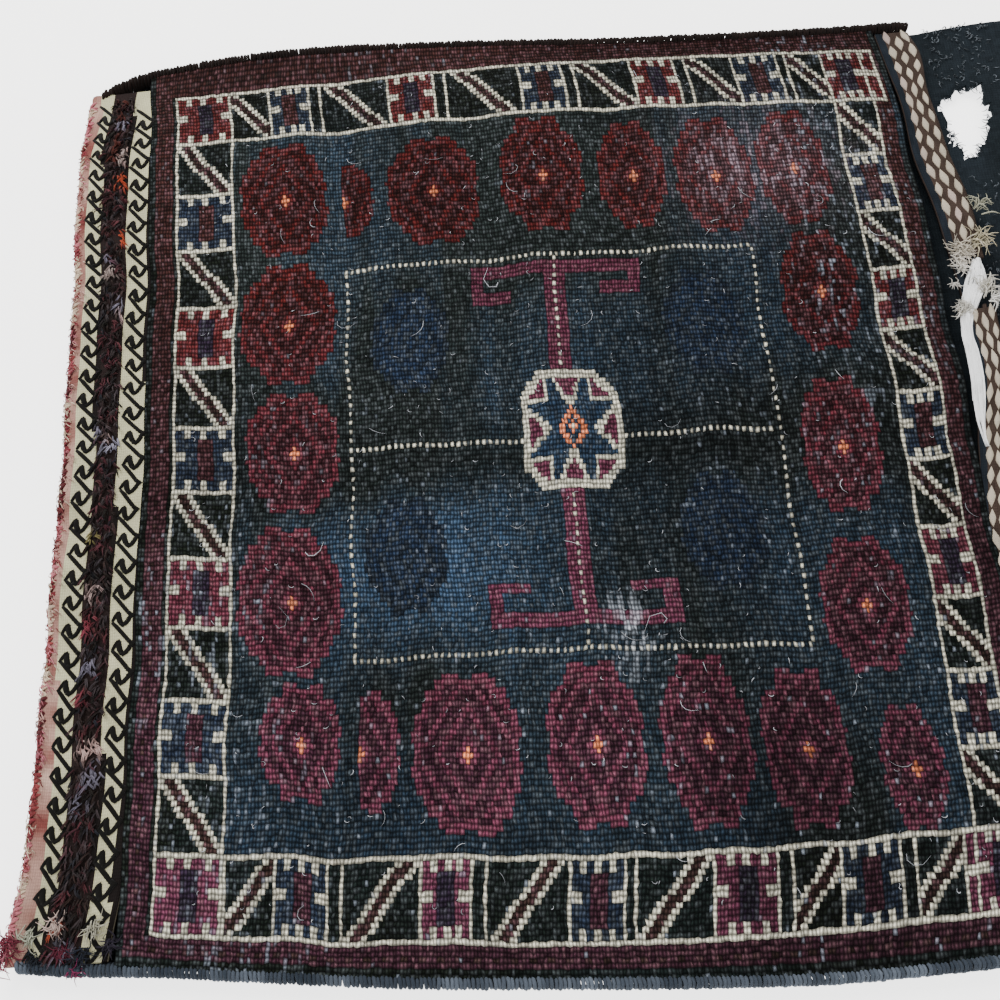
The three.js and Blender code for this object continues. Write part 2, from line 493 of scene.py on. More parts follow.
def steppedOctagon(u, v, centre, size, grow=0.0):
    # a stepped medallion with a shallow notch at its far and near ends
    a = np.abs(u + 0.5 - centre[0]) / max(size[0] / 2 + grow, 0.1)
    b = np.abs(v + 0.5 - centre[1]) / max(size[1] / 2 + grow, 0.1)
    step = (np.floor(b * 8) + 0.5) / 8
    heights = [0.10, 0.20, 0.32, 0.45, 0.57, 0.70, 0.82]
    reaches = [0.92, 1.0, 0.94, 0.92, 0.80, 0.72, 0.54]
    reach = np.select([step < height for height in heights], reaches, 0.46)
    notch = (b > 0.90) & (a < 0.13)
    return (a < reach) & (b < 1) & ~notch


def rosette(chart, centre, size, name="madder", dark="madderDark", heart="orange"):
    # a bright rim, a dim middle with a paler ring in it, and a small cross for a heart
    u, v = chart["u"], chart["v"]
    paint(chart, steppedOctagon(u, v, centre, size), name)
    paint(chart, steppedOctagon(u, v, centre, size, -2.4), dark)
    steps = (np.abs(u - centre[0]) + np.abs(v - centre[1])) // 2
    paint(chart, steppedOctagon(u, v, centre, size, -3.2) & (steps % 3 == 1), name)
    if heart:
        c, d = int(centre[0]), int(centre[1])
        block(chart, c - 2, c + 3, d - 1, d + 2, name)
        block(chart, c, c + 1, d - 1, d + 2, heart)
        block(chart, c - 1, c + 2, d, d + 1, heart)


def fieldRosettes(chart):
    u = chart["u"]
    for centre, size in (((57, 32), (22, 19)), ((58, 150), (24, 23))):
        before = chart["ink"].copy()
        rosette(chart, centre, size)
        chart["ink"] = np.where(u < centre[0], before, chart["ink"])
    far = [((37, 31), (30, 29)), ((88, 32), (32, 27)), ((125, 30), (29, 28)), ((155, 31), (23, 26)),
           ((182, 32), (26, 29)), ((208, 31), (23, 29))]
    near = [((41, 148), (24, 22)), ((89, 151), (32, 29)), ((126, 150), (29, 28)), ((157, 150), (26, 30)),
            ((184, 152), (24, 28)), ((212, 157), (18, 22))]
    byFold = [((37, 61), (32, 28)), ((38, 90), (30, 27)), ((37, 121), (32, 30))]
    byMouth = [((209, 61), (25, 28)), ((207, 95), (24, 29)), ((206, 127), (26, 27))]
    for centre, size in far + near + byFold + byMouth:
        rosette(chart, centre, size)
    for centre in ((77, 67), (172, 67), (73, 113), (169, 111)):
        rosette(chart, centre, (26, 24), "navy", "fadedBlue", None)


def hookedPole(chart):
    # a pole from top bar to bottom bar, with a hooked arm each way at both ends
    bars = [(122, 129, 53, 126), (98, 153, 51, 54), (98, 102, 51, 60), (149, 153, 51, 59),
            (98, 111, 57, 60), (140, 153, 56, 59), (97, 154, 126, 129), (97, 101, 120, 128),
            (149, 154, 120, 128), (97, 110, 120, 122), (140, 154, 120, 122)]
    for bar in bars:
        block(chart, *bar, "wine")


def dottedLines(chart):
    u, v = chart["u"], chart["v"]
    even, evenDown = u % 2 == 0, v % 2 == 0
    for line in (49, 133):
        paint(chart, even & (v == line) & (u >= 56) & (u < 190), "cream")
    for line in (56, 189):
        paint(chart, evenDown & (u == line) & (v >= 49) & (v < 134), "cream")
    paint(chart, even & (v == 90) & (u >= 58) & (u < 188), "cream")
    paint(chart, evenDown & (u == 125) & (v >= 49) & (v < 134), "cream")


def medallion(chart):
    u, v = chart["u"], chart["v"]
    a, b = u + 0.5 - 126.5, v + 0.5 - 88.7
    size = (15.2, 12.4)

    def octagon(inset):
        da, db = size[0] - inset, size[1] - inset
        return (np.abs(a) < da) & (np.abs(b) < db) & (np.abs(a) / da + np.abs(b) / db < 1.62)

    paint(chart, octagon(0), "cream")
    paint(chart, octagon(2), "starBlue")
    for sa in (-1, 1):
        for sb in (-1, 1):
            corner = octagon(2) & (a * sa > 6.4) & (b * sb > 5.4)
            paint(chart, corner, "cream")
            paint(chart, octagon(2) & (a * sa > 7.8) & (b * sb > 6.6), "wine")
    for along, across in ((a, b), (b, a)):
        reach = size[0] - 2 if along is a else size[1] - 2
        for sign in (-1, 1):
            depth = along * sign - (reach - 6.5)
            paint(chart, octagon(2) & (depth > 0) & (np.abs(across) < depth * 0.62 + 0.6), "cream")
            paint(chart, octagon(2) & (depth > 2.6) & (np.abs(across) < depth * 0.62 - 0.9), "wine")
    diamond = np.abs(a) / 5.2 + np.abs(b) / 4.6
    paint(chart, diamond < 1.0, "orange")
    paint(chart, diamond < 0.62, "starBlue")
    paint(chart, diamond < 0.36, "orange")
    block(chart, 126, 127, 88, 89, "cream")


def guards(chart):
    u, v = chart["u"], chart["v"]
    rows, knots = pile["borderRows"], pile["borderKnots"]
    outside = (u < 0) | (v < 0) | (v > knots) | (u > rows)
    paint(chart, outside, "maroon")
    speckle = (u + 2 * v) % 5 < 2
    paint(chart, outside & speckle & (((u == -5) | (v == -3)) | (v == knots + 3)), "brown")
    paint(chart, (u == -1) & (v >= 0) & (v <= knots), "black")
    paint(chart, (u <= -8) | (v > knots + 4), "black")
    paint(chart, u > rows + 5, "ground")


def makeChart():
    chart = newChart()
    heart = {"boxRed": "purple", "wine": "purple", "indigo": "maroon"}
    guards(chart)
    fieldRosettes(chart)
    hookedPole(chart)
    dottedLines(chart)
    medallion(chart)
    sides = ["boxRed", "lean", "indigo", "lean"] * 3 + ["wine"]
    far = [("boxRed", 19), ("lean", 14), ("indigo", 14), ("gap", 4), ("lean", 24), ("boxRed", 16),
           ("gap", 4), ("lean", 26), ("indigo", 15), ("gap", 4), ("lean", 20), ("boxRed", 15),
           ("gap", 4), ("lean", 16), ("indigo", 15), ("gap", 3), ("lean", 14), ("boxRed", 15)]
    near = [("wine", 20), ("lean", 14), ("indigo", 15), ("gap", 4), ("lean", 22), ("wine", 14),
            ("gap", 4), ("lean", 23), ("indigo", 15), ("gap", 3), ("lean", 21), ("wine", 17),
            ("gap", 4), ("lean", 13), ("indigo", 16), ("gap", 4), ("lean", 13), ("wine", 16)]
    borderStrip(chart, far, *pile["farStrip"], 1, heart)
    borderStrip(chart, near, *pile["nearStrip"], -1, heart)
    sideStrip(chart, *pile["foldStrip"], sides, heart)
    sideStrip(chart, *pile["mouthStrip"], sides, heart)
    return chart


def inkMask(chart, *names):
    return np.isin(chart["ink"], [inkNames.index(name) for name in names])


def towards(colour, target, amount):
    amount = np.clip(amount, 0, 1)[..., None]
    return colour * (1 - amount) + srgb(ageingAndShade[target]) * amount


def spot(u, v, middle, size):
    # 1 in its middle and falling away smoothly, in rows and knots
    return np.exp(-((u - middle[0]) / size[0])**2 - ((v - middle[1]) / size[1])**2)


def pileColours(chart, worn):
    # dye, age and wear over the inks, with painted shade in a band along the crease across the middle and
    # painted glint on the tips of random knots; worn is 1 on the pouch that has had the use
    rng = np.random.default_rng(pile["seed"])
    shape = chart["ink"].shape
    u, v = chart["u"].astype(float), chart["v"].astype(float)
    colour = inkColours[chart["ink"]]
    near = np.clip((v - 55) / 95, 0, 1) * np.ones(shape)
    rows = softNoise(shape, (64, 2), 11)
    pool = spot(u, v, (78, 116), (34, 16))
    blue = 0.12 * near + 0.70 * pool + 0.25 * (rows - 0.4) + 0.6 * (softNoise(shape, (9, 8), 12) - 0.5)
    # painted shade: the blue is held back in the band along the crease
    blue *= np.interp(v, (80, 93, 104), (1.0, 0.1, 1.0))
    colour = towards(colour, "blueGround", np.where(inkMask(chart, "ground"), blue, 0))
    colour = towards(colour, "blueBlack", np.where(inkMask(chart, "black"), 0.5 * blue, 0))
    reds, darkReds = inkMask(chart, "madder", "boxRed", "wine"), inkMask(chart, "madderDark", "maroon")
    colour = towards(colour, "nearRed", np.where(reds, 0.75 * near, 0))
    colour = towards(colour, "nearMaroon", np.where(darkReds, 0.70 * near, 0))
    # the ground's lightness, partly uneven dye and partly painted shade: darkest at knot 93, along the
    # crease across the middle, lighter in the blue pool and darker towards the mouth
    groundToneAndShade = np.interp(v, ageingAndShade["across"], ageingAndShade["groundToneAndShade"])
    groundToneAndShade = groundToneAndShade * (1 - 0.22 * np.clip((u - 110) / 40, 0, 1)) + 0.28 * pool
    dyeLight = np.interp(v, ageingAndShade["dyedAcross"], ageingAndShade["dyedLight"])
    dyeLight = dyeLight * (1 - 0.38 * np.clip((u - 95) / 70, 0, 1) * near)
    light = np.where(inkMask(chart, "ground", "fadedBlue"), groundToneAndShade, dyeLight)
    light = np.where(inkMask(chart, "cream"), 1.0, light) + 0.45 * (softNoise(shape, (7, 6), 19) - 0.5)
    knot = 0.45 + 0.80 * rng.random(shape)
    colour = colour * (np.clip(light, 0.4, 1.5) * knot)[..., None]
    # painted glint: pale grey tips on random knots, pinkish on the red ones, stronger where the pile is
    # lighter
    tipGlint = rng.random(shape)**3 * (0.06 + 0.17 * light * np.where(inkMask(chart, "cream"), 0.3, 1))
    redTips = inkMask(chart, "madder", "boxRed", "madderDark", "wine", "maroon", "brown")
    colour = towards(colour, "greyTip", np.where(redTips, 0, tipGlint))
    colour = towards(colour, "redTip", np.where(redTips, tipGlint, 0))
    fine, broad = rng.random(shape), softNoise(shape, (22, 18), 14)
    colour = towards(colour, "fleck", worn * 0.36 * (fine > 0.985) * (0.3 + broad) * (0.35 + 0.8 * near))
    patch = spot(u, v, (197, 30), (24, 12))
    grain = softNoise(shape, (250, 60), 15)
    colour = towards(colour, "scuff", worn * patch * (0.10 + 0.65 * (grain > 0.60) * fine))
    bare = softNoise(shape, (250, 95), 16) * spot(u, v, (137, 130), (11, 11))
    colour = towards(colour, "bareWarp", worn * 1.3 * np.clip(bare - 0.34, 0, 1))
    dashes = softNoise(shape, (255, 110), 17) * (0.55 + 0.6 * softNoise(shape, (8, 6), 18))
    colour = towards(colour, "dash", worn * 1.3 * np.clip(dashes - 0.80, 0, 1))
    return colour


def pilePlace(u, v):
    # where a row and a knot lie; the border's lines lead, and the cloth's edges follow the seams
    q = np.where(v < pile["borderKnots"] / 2, 0.29, -0.29) * np.ones_like(u + v)
    for _ in range(3):
        low, high = pile["rowsFrom"] + bow(q), pile["rowsTo"] + bow(q)
        p = low + (high - low) * u / pile["borderRows"]
        lines = [farEdge(p), borderFar(p), borderNear(p), nearEdge(p)]
        at = [pile["firstKnot"], 0, pile["borderKnots"], pile["lastKnot"]]
        share = [np.clip((v - at[i]) / (at[i + 1] - at[i]), 0, 1) for i in range(3)]
        q = lines[0] + sum(share[i] * (lines[i + 1] - lines[i]) for i in range(3))
    towardsMouth = np.clip((u - 70) / (pile["borderRows"] - 70), 0, 1)
    inside = np.sin(math.pi * towardsMouth) * np.sin(math.pi * np.clip(v / pile["borderKnots"], 0, 1))
    pulled = spot(u, v, (120, 138), (50, 22))
    return p - 0.0028 * inside, q + 0.0058 * pulled


def makePileFace(name, pouch, chart, worn, material):
    u = np.arange(pile["firstRow"], pile["lastRow"] + 1.0)[:, None]
    v = np.arange(pile["firstKnot"], pile["lastKnot"] + 1.0)[None, :]
    p, q = pilePlace(u + 0 * v, v + 0 * u)
    rng = np.random.default_rng(pile["seed"] + 1)
    inside = np.zeros(p.shape)
    inside[1:-1, 1:-1] = 1
    jitter = rng.normal(0, pile["wander"], (3, *p.shape)) * inside
    top = place(pouch, p + jitter[0], q + jitter[1], outerTop(p, q) + 0.5 * jitter[2])
    under = place(pouch, p, q, outerTop(p, q) - pile["depth"])
    threads = np.stack(np.broadcast_arrays(u, v), -1)
    return clothShell(name, top, under, pileColours(chart, worn), threads, material, pouch > 0, step=5)


pileMaterial = clothMaterial(
    "knotted wool pile",
    {"Fibres per metre": 1400.0, "Contrast": 0.9, "Patches per metre": 45.0, "Patchiness": 0.35},
    threads={"Rib depth": 0.85, "Row depth": 0.80, "Wander": 0.35}, bump=0.6, distance=0.0012, shade=0.80)
chart = makeChart()
for pouch, letter in ((-1, "a"), (1, "b")):
    face = keepPiece(makePileFace("pile_face_" + letter, pouch, chart, pile["wear"][letter], pileMaterial))
print("stage: pile faces knotted")


# Rows and fields of small things are grown flat and then laid on the cloth
def randomVector(tree, reach, seed, middle):
    low = addNode(tree, "ShaderNodeVectorMath", {"operation": "SCALE"},
                  {0: reach, "Scale": -1.0}).outputs[0]
    node = addNode(tree, "FunctionNodeRandomValue", {"data_type": "FLOAT_VECTOR"},
                   {0: low, 1: reach, "Seed": seed})
    return addNode(tree, "ShaderNodeVectorMath", {"operation": "ADD"},
                   {0: node.outputs[0], 1: middle}).outputs[0]


def placeMotifs(tree, points, inp, out):
    motif = addNode(tree, "GeometryNodeObjectInfo", (), {"Object": inp["Motif"]})
    turn = randomVector(tree, inp["Turn jitter"], inp["Seed"], inp["Turn"])
    smallest = math1(tree, "SUBTRACT", 1.0, inp["Size jitter"])
    largest = math1(tree, "ADD", 1.0, inp["Size jitter"])
    size = addNode(tree, "FunctionNodeRandomValue", {"data_type": "FLOAT"},
                   {2: smallest, 3: largest, "Seed": inp["Seed"]})
    placed = addNode(tree, "GeometryNodeInstanceOnPoints", (), {
        "Points": points, "Instance": motif.outputs["Geometry"], "Rotation": turn,
        "Scale": size.outputs[1]})
    real = addNode(tree, "GeometryNodeRealizeInstances", (), {"Geometry": placed.outputs[0]})
    coated = addNode(tree, "GeometryNodeSetMaterial", (), {
        "Geometry": real.outputs[0], "Material": inp["Material"]})
    tree.links.new(coated.outputs[0], out["Geometry"])


motifInputs = [
    ("Geometry", "NodeSocketGeometry", None), ("Motif", "NodeSocketObject", None),
    ("Turn", "NodeSocketVector", None), ("Turn jitter", "NodeSocketVector", None),
    ("Size jitter", "NodeSocketFloat", 0.1), ("Seed", "NodeSocketInt", 1),
    ("Material", "NodeSocketMaterial", None)]


def makeRowTree():
    # one motif after another along each line of the input mesh
    tree, inp, out = newGroup("GeometryNodeTree", "rowOfMotifs",
                              [*motifInputs, ("Spacing", "NodeSocketFloat", 0.003)],
                              [("Geometry", "NodeSocketGeometry")])
    line = addNode(tree, "GeometryNodeMeshToCurve", (), {"Mesh": inp["Geometry"]})
    even = addNode(tree, "GeometryNodeResampleCurve", {"mode": "LENGTH"},
                   {"Curve": line.outputs[0], "Length": inp["Spacing"]})
    placeMotifs(tree, even.outputs[0], inp, out)
    return tree


def makeFieldTree():
    # motifs strewn over the faces of the input mesh
    tree, inp, out = newGroup("GeometryNodeTree", "fieldOfMotifs",
                              [*motifInputs, ("Density", "NodeSocketFloat", 1000.0)],
                              [("Geometry", "NodeSocketGeometry")])
    strewn = addNode(tree, "GeometryNodeDistributePointsOnFaces", {"distribute_method": "RANDOM"}, {
        "Mesh": inp["Geometry"], "Density": inp["Density"], "Seed": inp["Seed"]})
    placeMotifs(tree, strewn.outputs[0], inp, out)
    return tree


rowOfMotifs = makeRowTree()
fieldOfMotifs = makeFieldTree()


def grow(name, tree, mesh, material, motif, values):
    # runs the tree once and keeps the result as a plain mesh
    piece = link(name, mesh)
    modifier = piece.modifiers.new("grow", "NODES")
    modifier.node_group = tree
    identifiers = {item.name: item.identifier for item in tree.interface.items_tree
                   if item.in_out == "INPUT"}
    for label, value in {"Motif": motif, "Material": material, **values}.items():
        modifier[identifiers[label]] = value
    bpy.context.view_layer.update()
    graph = bpy.context.evaluated_depsgraph_get()
    plain = bpy.data.meshes.new_from_object(piece.evaluated_get(graph))
    piece.modifiers.remove(modifier)
    piece.data = plain
    plain.polygons.foreach_set("use_smooth", np.ones(len(plain.polygons), bool))
    bpy.data.objects.remove(motif)
    return piece


def lineMesh(name, lines, colours):
    # lines is a list of point arrays, colours one array of linear colours for each
    points = np.concatenate(lines)
    edges = []
    start = 0
    for line in lines:
        edges += [(start + i, start + i + 1) for i in range(len(line) - 1)]
        start += len(line)
    mesh = bpy.data.meshes.new(name)
    mesh.from_pydata(points.tolist(), edges, [])
    addPointColours(mesh, np.concatenate(colours))
    return mesh


def addPointColours(mesh, colours):
    full = np.ones((len(colours), 4), np.float32)
    full[:, :3] = colours
    tint = mesh.color_attributes.new("yarnColour", "FLOAT_COLOR", "POINT")
    tint.data.foreach_set("color", full.ravel())


def layMesh(piece, toPlace, flip):
    # carries a flat layout's points (along p, along q, height) to their places on the bag
    mesh = piece.data
    flat = np.empty(len(mesh.vertices) * 3)
    mesh.vertices.foreach_get("co", flat)
    flat = flat.reshape(-1, 3)
    laid = toPlace(*flat.T)
    mesh.vertices.foreach_set("co", laid.astype(np.float32).ravel())
    if flip:
        mesh.flip_normals()
    mesh.update()
    return piece


def ringFaces(start, rings, sides):
    # walls between neighbouring rings of points, and a cap on each end
    faces = []
    for ring in range(start, start + (rings - 1) * sides, sides):
        for k in range(sides):
            a, b = ring + k, ring + (k + 1) % sides
            faces.append((a, b, b + sides, a + sides))
    faces.append(tuple(start + k for k in reversed(range(sides))))
    faces.append(tuple(start + (rings - 1) * sides + k for k in range(sides)))
    return faces


def motifMesh(name, points, faces):
    # a small closed shape to be repeated, with its faces turned outward
    mesh = bpy.data.meshes.new(name)
    mesh.from_pydata(points, [], faces)
    work = bmesh.new()
    work.from_mesh(mesh)
    bmesh.ops.recalc_face_normals(work, faces=work.faces)
    work.to_mesh(mesh)
    work.free()
    return link(name, mesh)


def tubes(name, paths, radii, colours, material, sides=4):
    # closed round yarns along paths, each drawn in towards its last point
    tip, taperFrom = 0.35, 0.4
    points, faces, tints = [], [], []
    turn = np.linspace(0, 2 * math.pi, sides, endpoint=False)
    for path, radius, colour in zip(paths, radii, colours):
        path = np.asarray(path, float)
        start = len(points)
        along = np.gradient(path, axis=0)
        along /= np.linalg.norm(along, axis=1)[:, None] + 1e-12
        aside = np.cross(along, [0.01, 0.02, 1.0])
        aside /= np.linalg.norm(aside, axis=1)[:, None] + 1e-12
        above = np.cross(aside, along)
        count = len(path)
        for i in range(count):
            r = radius * (1 - (1 - tip) * max(0.0, i / (count - 1) - taperFrom) / (1 - taperFrom))
            ring = path[i] + r * (np.cos(turn)[:, None] * aside[i] + np.sin(turn)[:, None] * above[i])
            points.extend(ring.tolist())
            tints.extend([colour] * sides)
        faces += ringFaces(start, count, sides)
    mesh = bpy.data.meshes.new(name)
    mesh.from_pydata(points, [], faces)
    addPointColours(mesh, np.array(tints))
    mesh.polygons.foreach_set("use_smooth", np.ones(len(faces), bool))
    if material:
        mesh.materials.append(material)
    return link(name, mesh)


# Across the fold, t runs from the fold's crest outward and down, and is negative on the face.
bands = {
    "cell": 0.0026,
    "sections": 34,
    "crestShare": 0.42,
    "far": 0.3005,
    "near": -0.290,
    "thickness": 0.0026,
    "sunk": 0.0006,
    "ends": [(0.300, (0.0105, 0.0185, 0.0365, 0.0515)), (0.020, (0.0100, 0.0233, 0.0388, 0.0555)),
             (-0.300, (0.0145, 0.0240, 0.0460, 0.0590))],
    "outline": 0.0007,
    "reach": 0.063,
    "under": 0.030,
    "warp": 0.0014,
    "weft": 0.0018,
}


def foldRadius(q):
    edge = foldEdge(q)
    radius = 0.010
    for _ in range(2):
        radius = faceTop(edge + radius, q) / 2
    return radius


def foldPlace(pouch, t, q, h):
    radius, edge = foldRadius(q), foldEdge(q)
    angle = np.clip(t / radius, 0, math.pi)
    p = edge + radius - (radius + h) * np.sin(angle)
    z = radius + (radius + h) * np.cos(angle)
    p = np.where(t < 0, edge + radius - t, p)
    z = np.where(t < 0, faceTop(p, q) + h, z)
    below = t > math.pi * radius
    p = np.where(below, edge + radius + (t - math.pi * radius), p)
    z = np.where(below, -h, z)
    return place(pouch, p, q, z)


def arcOf(d, q):
    # from a distance in from the outline, seen from above, to t
    radius = foldRadius(q)
    return np.where(d < radius, radius * np.arcsin(np.clip(1 - d / radius, -1, 1)), radius - d)


def bandEnd(i):
    return through([(at, ends[i]) for at, ends in reversed(bands["ends"])])


bandEnds = [bandEnd(i) for i in range(4)]
bandInks = {
    "cream": "b4b08f",
    "shagGround": "241c1b",
    "outline": "191514",
    "plain": "262a2e",
    "pinkDark": "6a302e",
    "pinkPale": "b8998a",
}


def layOnFold(piece, pouch, sink=0.0):
    # for a piece grown flat with X across the fold, Y along it and Z up
    return layMesh(piece, lambda x, y, z: foldPlace(pouch, -x, y, z - sink), pouch > 0)


def makeFoldCloth(name, pouch, material):
    q = np.arange(bands["far"], bands["near"], -bands["cell"])[None, :]
    share = np.linspace(0, 1, bands["sections"] + 1)[:, None]
    radius = foldRadius(q)
    first, crest, last = math.pi * radius + bands["under"], radius * math.pi / 2, radius - bands["reach"]
    split = bands["crestShare"]
    t = np.where(share < split, first + (crest - first) * share / split,
                 crest + (last - crest) * (share - split) / (1 - split))
    q = q + 0 * t
    d = np.where(t > 0, radius - radius * np.sin(np.clip(t / radius, 0, math.pi / 2)), radius - t)
    middle = (d[:-1, :-1] + d[1:, 1:]) / 2
    over = t[:-1, :-1] < crest[:, :-1]
    inks = {ink: srgb(text) for ink, text in bandInks.items()}
    colour = np.empty((*middle.shape, 3))
    colour[:] = inks["plain"]
    ends = [end(q[:-1, :-1]) for end in bandEnds]
    for low, high, ink in ((ends[0], ends[1], "cream"), (ends[1], ends[2], "shagGround"),
                           (ends[2], ends[3], "cream"), (ends[3], 1, "outline")):
        colour[over & (middle >= low) & (middle < high)] = inks[ink]
    for end in ends[1:]:
        colour[over & (np.abs(middle - end) < bands["outline"])] = inks["outline"]
    mottle = softNoise(middle.shape, (5, 46), 33)[..., None]
    pink = inks["pinkDark"] * (1 - mottle) + inks["pinkPale"] * mottle
    colour = np.where((over & (middle < ends[0]))[..., None], pink, colour)
    colour = colour * (0.88 + 0.24 * softNoise(middle.shape, (12, 60), 31))[..., None]
    rise = np.where(t < 0, -bands["sunk"], 0)
    outer = foldPlace(pouch, t, q, rise)
    inner = foldPlace(pouch, t, q, rise - bands["thickness"])
    threads = np.stack([d / bands["warp"], q / bands["weft"]], -1)
    return clothShell(name, outer, inner, colour, threads, material, pouch > 0)


scrolls = {
    "ink": "12110f",
    "width": 0.0140,
    "pitch": 0.0169,
    "line": 0.0023,
    "lineTop": 0.00032,
    "lineFoot": -0.0004,
    "far": 0.290,
    "near": -0.272,
    "shift": 0.004,
    "step": 0.004,
    "strokes": [
        (1.15, [(0.10, 0.00), (0.30, 0.17), (0.53, 0.39), (0.75, 0.60), (0.94, 0.78)]),
        (1.25, [(0.94, 0.78), (0.87, 0.93), (0.73, 1.08), (0.58, 1.16), (0.47, 1.10)]),
        (1.6, [(0.55, 1.15), (0.45, 0.99), (0.40, 0.84), (0.41, 0.68)]),
        (1.0, [(0.46, 0.66), (0.34, 0.71), (0.23, 0.84), (0.11, 1.01)]),
        (1.6, [(0.80, 0.66), (1.02, 0.78), (0.84, 0.92)]),
    ],
}


def scrollMotif():
    # one hook of the running scroll, drawn as a flat black line; X is across the band
    section = [(-1, scrolls["lineFoot"]), (-0.7, scrolls["lineTop"]), (0.7, scrolls["lineTop"]),
               (1, scrolls["lineFoot"])]
    points, faces = [], []
    for weight, stroke in scrolls["strokes"]:
        line = np.array([((a - 0.5) * scrolls["width"], -b * scrolls["pitch"]) for a, b in stroke])
        along = np.gradient(line, axis=0)
        along /= np.linalg.norm(along, axis=1)[:, None]
        aside = np.stack([-along[:, 1], along[:, 0]], -1)
        faces += ringFaces(len(points), len(line), len(section))
        for i, (at, side) in enumerate(zip(line, aside)):
            half = scrolls["line"] / 2 * weight * (0.75 if i in (0, len(line) - 1) else 1.0)
            points += [(*(at + side * s * half), z) for s, z in section]
    return motifMesh("scroll motif", points, faces)


def makeScrolls(name, pouch, material, seed):
    rows = []
    for low, high in ((0, 1), (2, 3)):
        q = np.arange(scrolls["far"] - scrolls["shift"] * low, scrolls["near"], -scrolls["step"])
        middle = arcOf((bandEnds[low](q) + bandEnds[high](q)) / 2, q)
        rows.append(np.stack([-middle, q, 0 * q], -1))
    path = lineMesh(name, rows, [np.tile(srgb(scrolls["ink"]), (len(row), 1)) for row in rows])
    piece = grow(name, rowOfMotifs, path, material, scrollMotif(), {
        "Spacing": scrolls["pitch"], "Turn": (0, 0, 0), "Turn jitter": (0, 0, 0.05), "Size jitter": 0.04,
        "Seed": seed})
    return layOnFold(piece, pouch)


tufts = {
    "inks": ["17130f", "1b1713", "28201d", "1c2028", "3a2a26", "4a4042", "4b242b", "2a2426", "5f3237"],
    "accents": ["a3928c", "a2452c", "8d8a9a", "7d7348", "7a3640", "b79a94", "9a8480", "6f6a78"],
    "farRed": "4d241d",
    "farRedFrom": 0.235,
    "rows": 7,
    "columns": 210,
    "far": 0.294,
    "near": -0.284,
    "spots": 34,
    "spotSize": 0.006,
    "density": 165000.0,
    "length": 0.0062,
    "radius": 0.00042,
    "sunk": 0.0004,
}


def woolLock(seed):
    # three strands of wool standing along Z and curling over towards -Y
    rng = np.random.default_rng(seed)
    length, radius, count = tufts["length"], tufts["radius"], 3
    paths = []
    for _ in range(count):
        bend = rng.uniform(0.4, 1.0)
        drift = rng.normal(0, 0.2 * length)
        reach = length * rng.uniform(0.75, 1.15)
        s = np.linspace(0, 1, 4)
        paths.append(np.stack([drift * s + rng.normal(0, radius), -reach * bend * s**1.6,
                               reach * (s - 0.45 * bend * s**2)], -1))
    lock = tubes("wool lock", paths, [radius] * count, [srgb("808080")] * count, None, sides=3)
    lock.data.color_attributes.remove(lock.data.color_attributes[0])
    return lock


def makeTufts(name, pouch, material, seed):
    rng = np.random.default_rng(seed)
    rows, cols = tufts["rows"], tufts["columns"]
    q = np.linspace(tufts["far"], tufts["near"], cols + 1)[None, :]
    share = np.linspace(0.06, 0.94, rows + 1)[:, None]
    d = bandEnds[1](q) * (1 - share) + bandEnds[2](q) * share
    points = np.stack(np.broadcast_arrays(-arcOf(d, q + 0 * d), q + 0 * d, 0 * d), -1).reshape(-1, 3)
    index = np.arange((rows + 1) * (cols + 1)).reshape(rows + 1, cols + 1)
    faces = np.stack([index[:-1, :-1], index[1:, :-1], index[1:, 1:], index[:-1, 1:]], -1).reshape(-1, 4)
    mesh = bpy.data.meshes.new(name)
    mesh.from_pydata(points.tolist(), [], faces.tolist())
    tint = np.array([srgb(ink) for ink in tufts["inks"]])[rng.integers(0, len(tufts["inks"]), len(points))]
    x, y = points[:, 0], points[:, 1]
    column = np.abs(np.broadcast_to(share, d.shape).reshape(-1) - 0.45) < 0.2
    tint[(y > tufts["farRedFrom"]) & column & (rng.random(len(points)) < 0.75)] = srgb(tufts["farRed"])
    for _ in range(tufts["spots"]):
        centre = (rng.uniform(x.min(), x.max()), rng.uniform(-0.28, 0.28))
        away = ((x - centre[0]) / tufts["spotSize"])**2 + ((y - centre[1]) / tufts["spotSize"])**2
        near = away < rng.uniform(0.3, 1.2)
        tint[near] = srgb(tufts["accents"][rng.integers(0, len(tufts["accents"]))])
    addPointColours(mesh, tint)
    piece = grow(name, fieldOfMotifs, mesh, material, woolLock(seed), {
        "Density": tufts["density"], "Turn": (0.55, 0, 0), "Turn jitter": (0.45, 0.5, 0.9),
        "Size jitter": 0.35, "Seed": seed})
    return layOnFold(piece, pouch, tufts["sunk"])


wraps = {
    "inks": ["6e2a2f", "b08079", "c3ac97", "7f3a3a", "4f1f22", "a8636a", "c8b49c"],
    "far": 0.291,
    "near": -0.287,
    "step": 0.0022,
    "spacing": 0.0023,
    "length": 0.0145,
    "width": 0.0027,
    "height": 0.0016,
}


def wrapMotif():
    # a short fat yarn lying along X, bowed up in its middle
    sides, steps = 6, 6
    length, width, height = wraps["length"], wraps["width"], wraps["height"]
    t = np.linspace(-1, 1, steps + 1)
    ring = np.linspace(0, 2 * math.pi, sides, endpoint=False)
    full = np.sqrt(np.clip(1 - np.abs(t) ** 3, 0.05, 1))
    points = [(length / 2 * t[i], width / 2 * full[i] * math.cos(a),
               height / 2 * full[i] * math.sin(a) + height * 0.5 * (1 - t[i]**2))
              for i in range(steps + 1) for a in ring]
    return motifMesh("wrap motif", points, [face[::-1] for face in ringFaces(0, steps + 1, sides)])


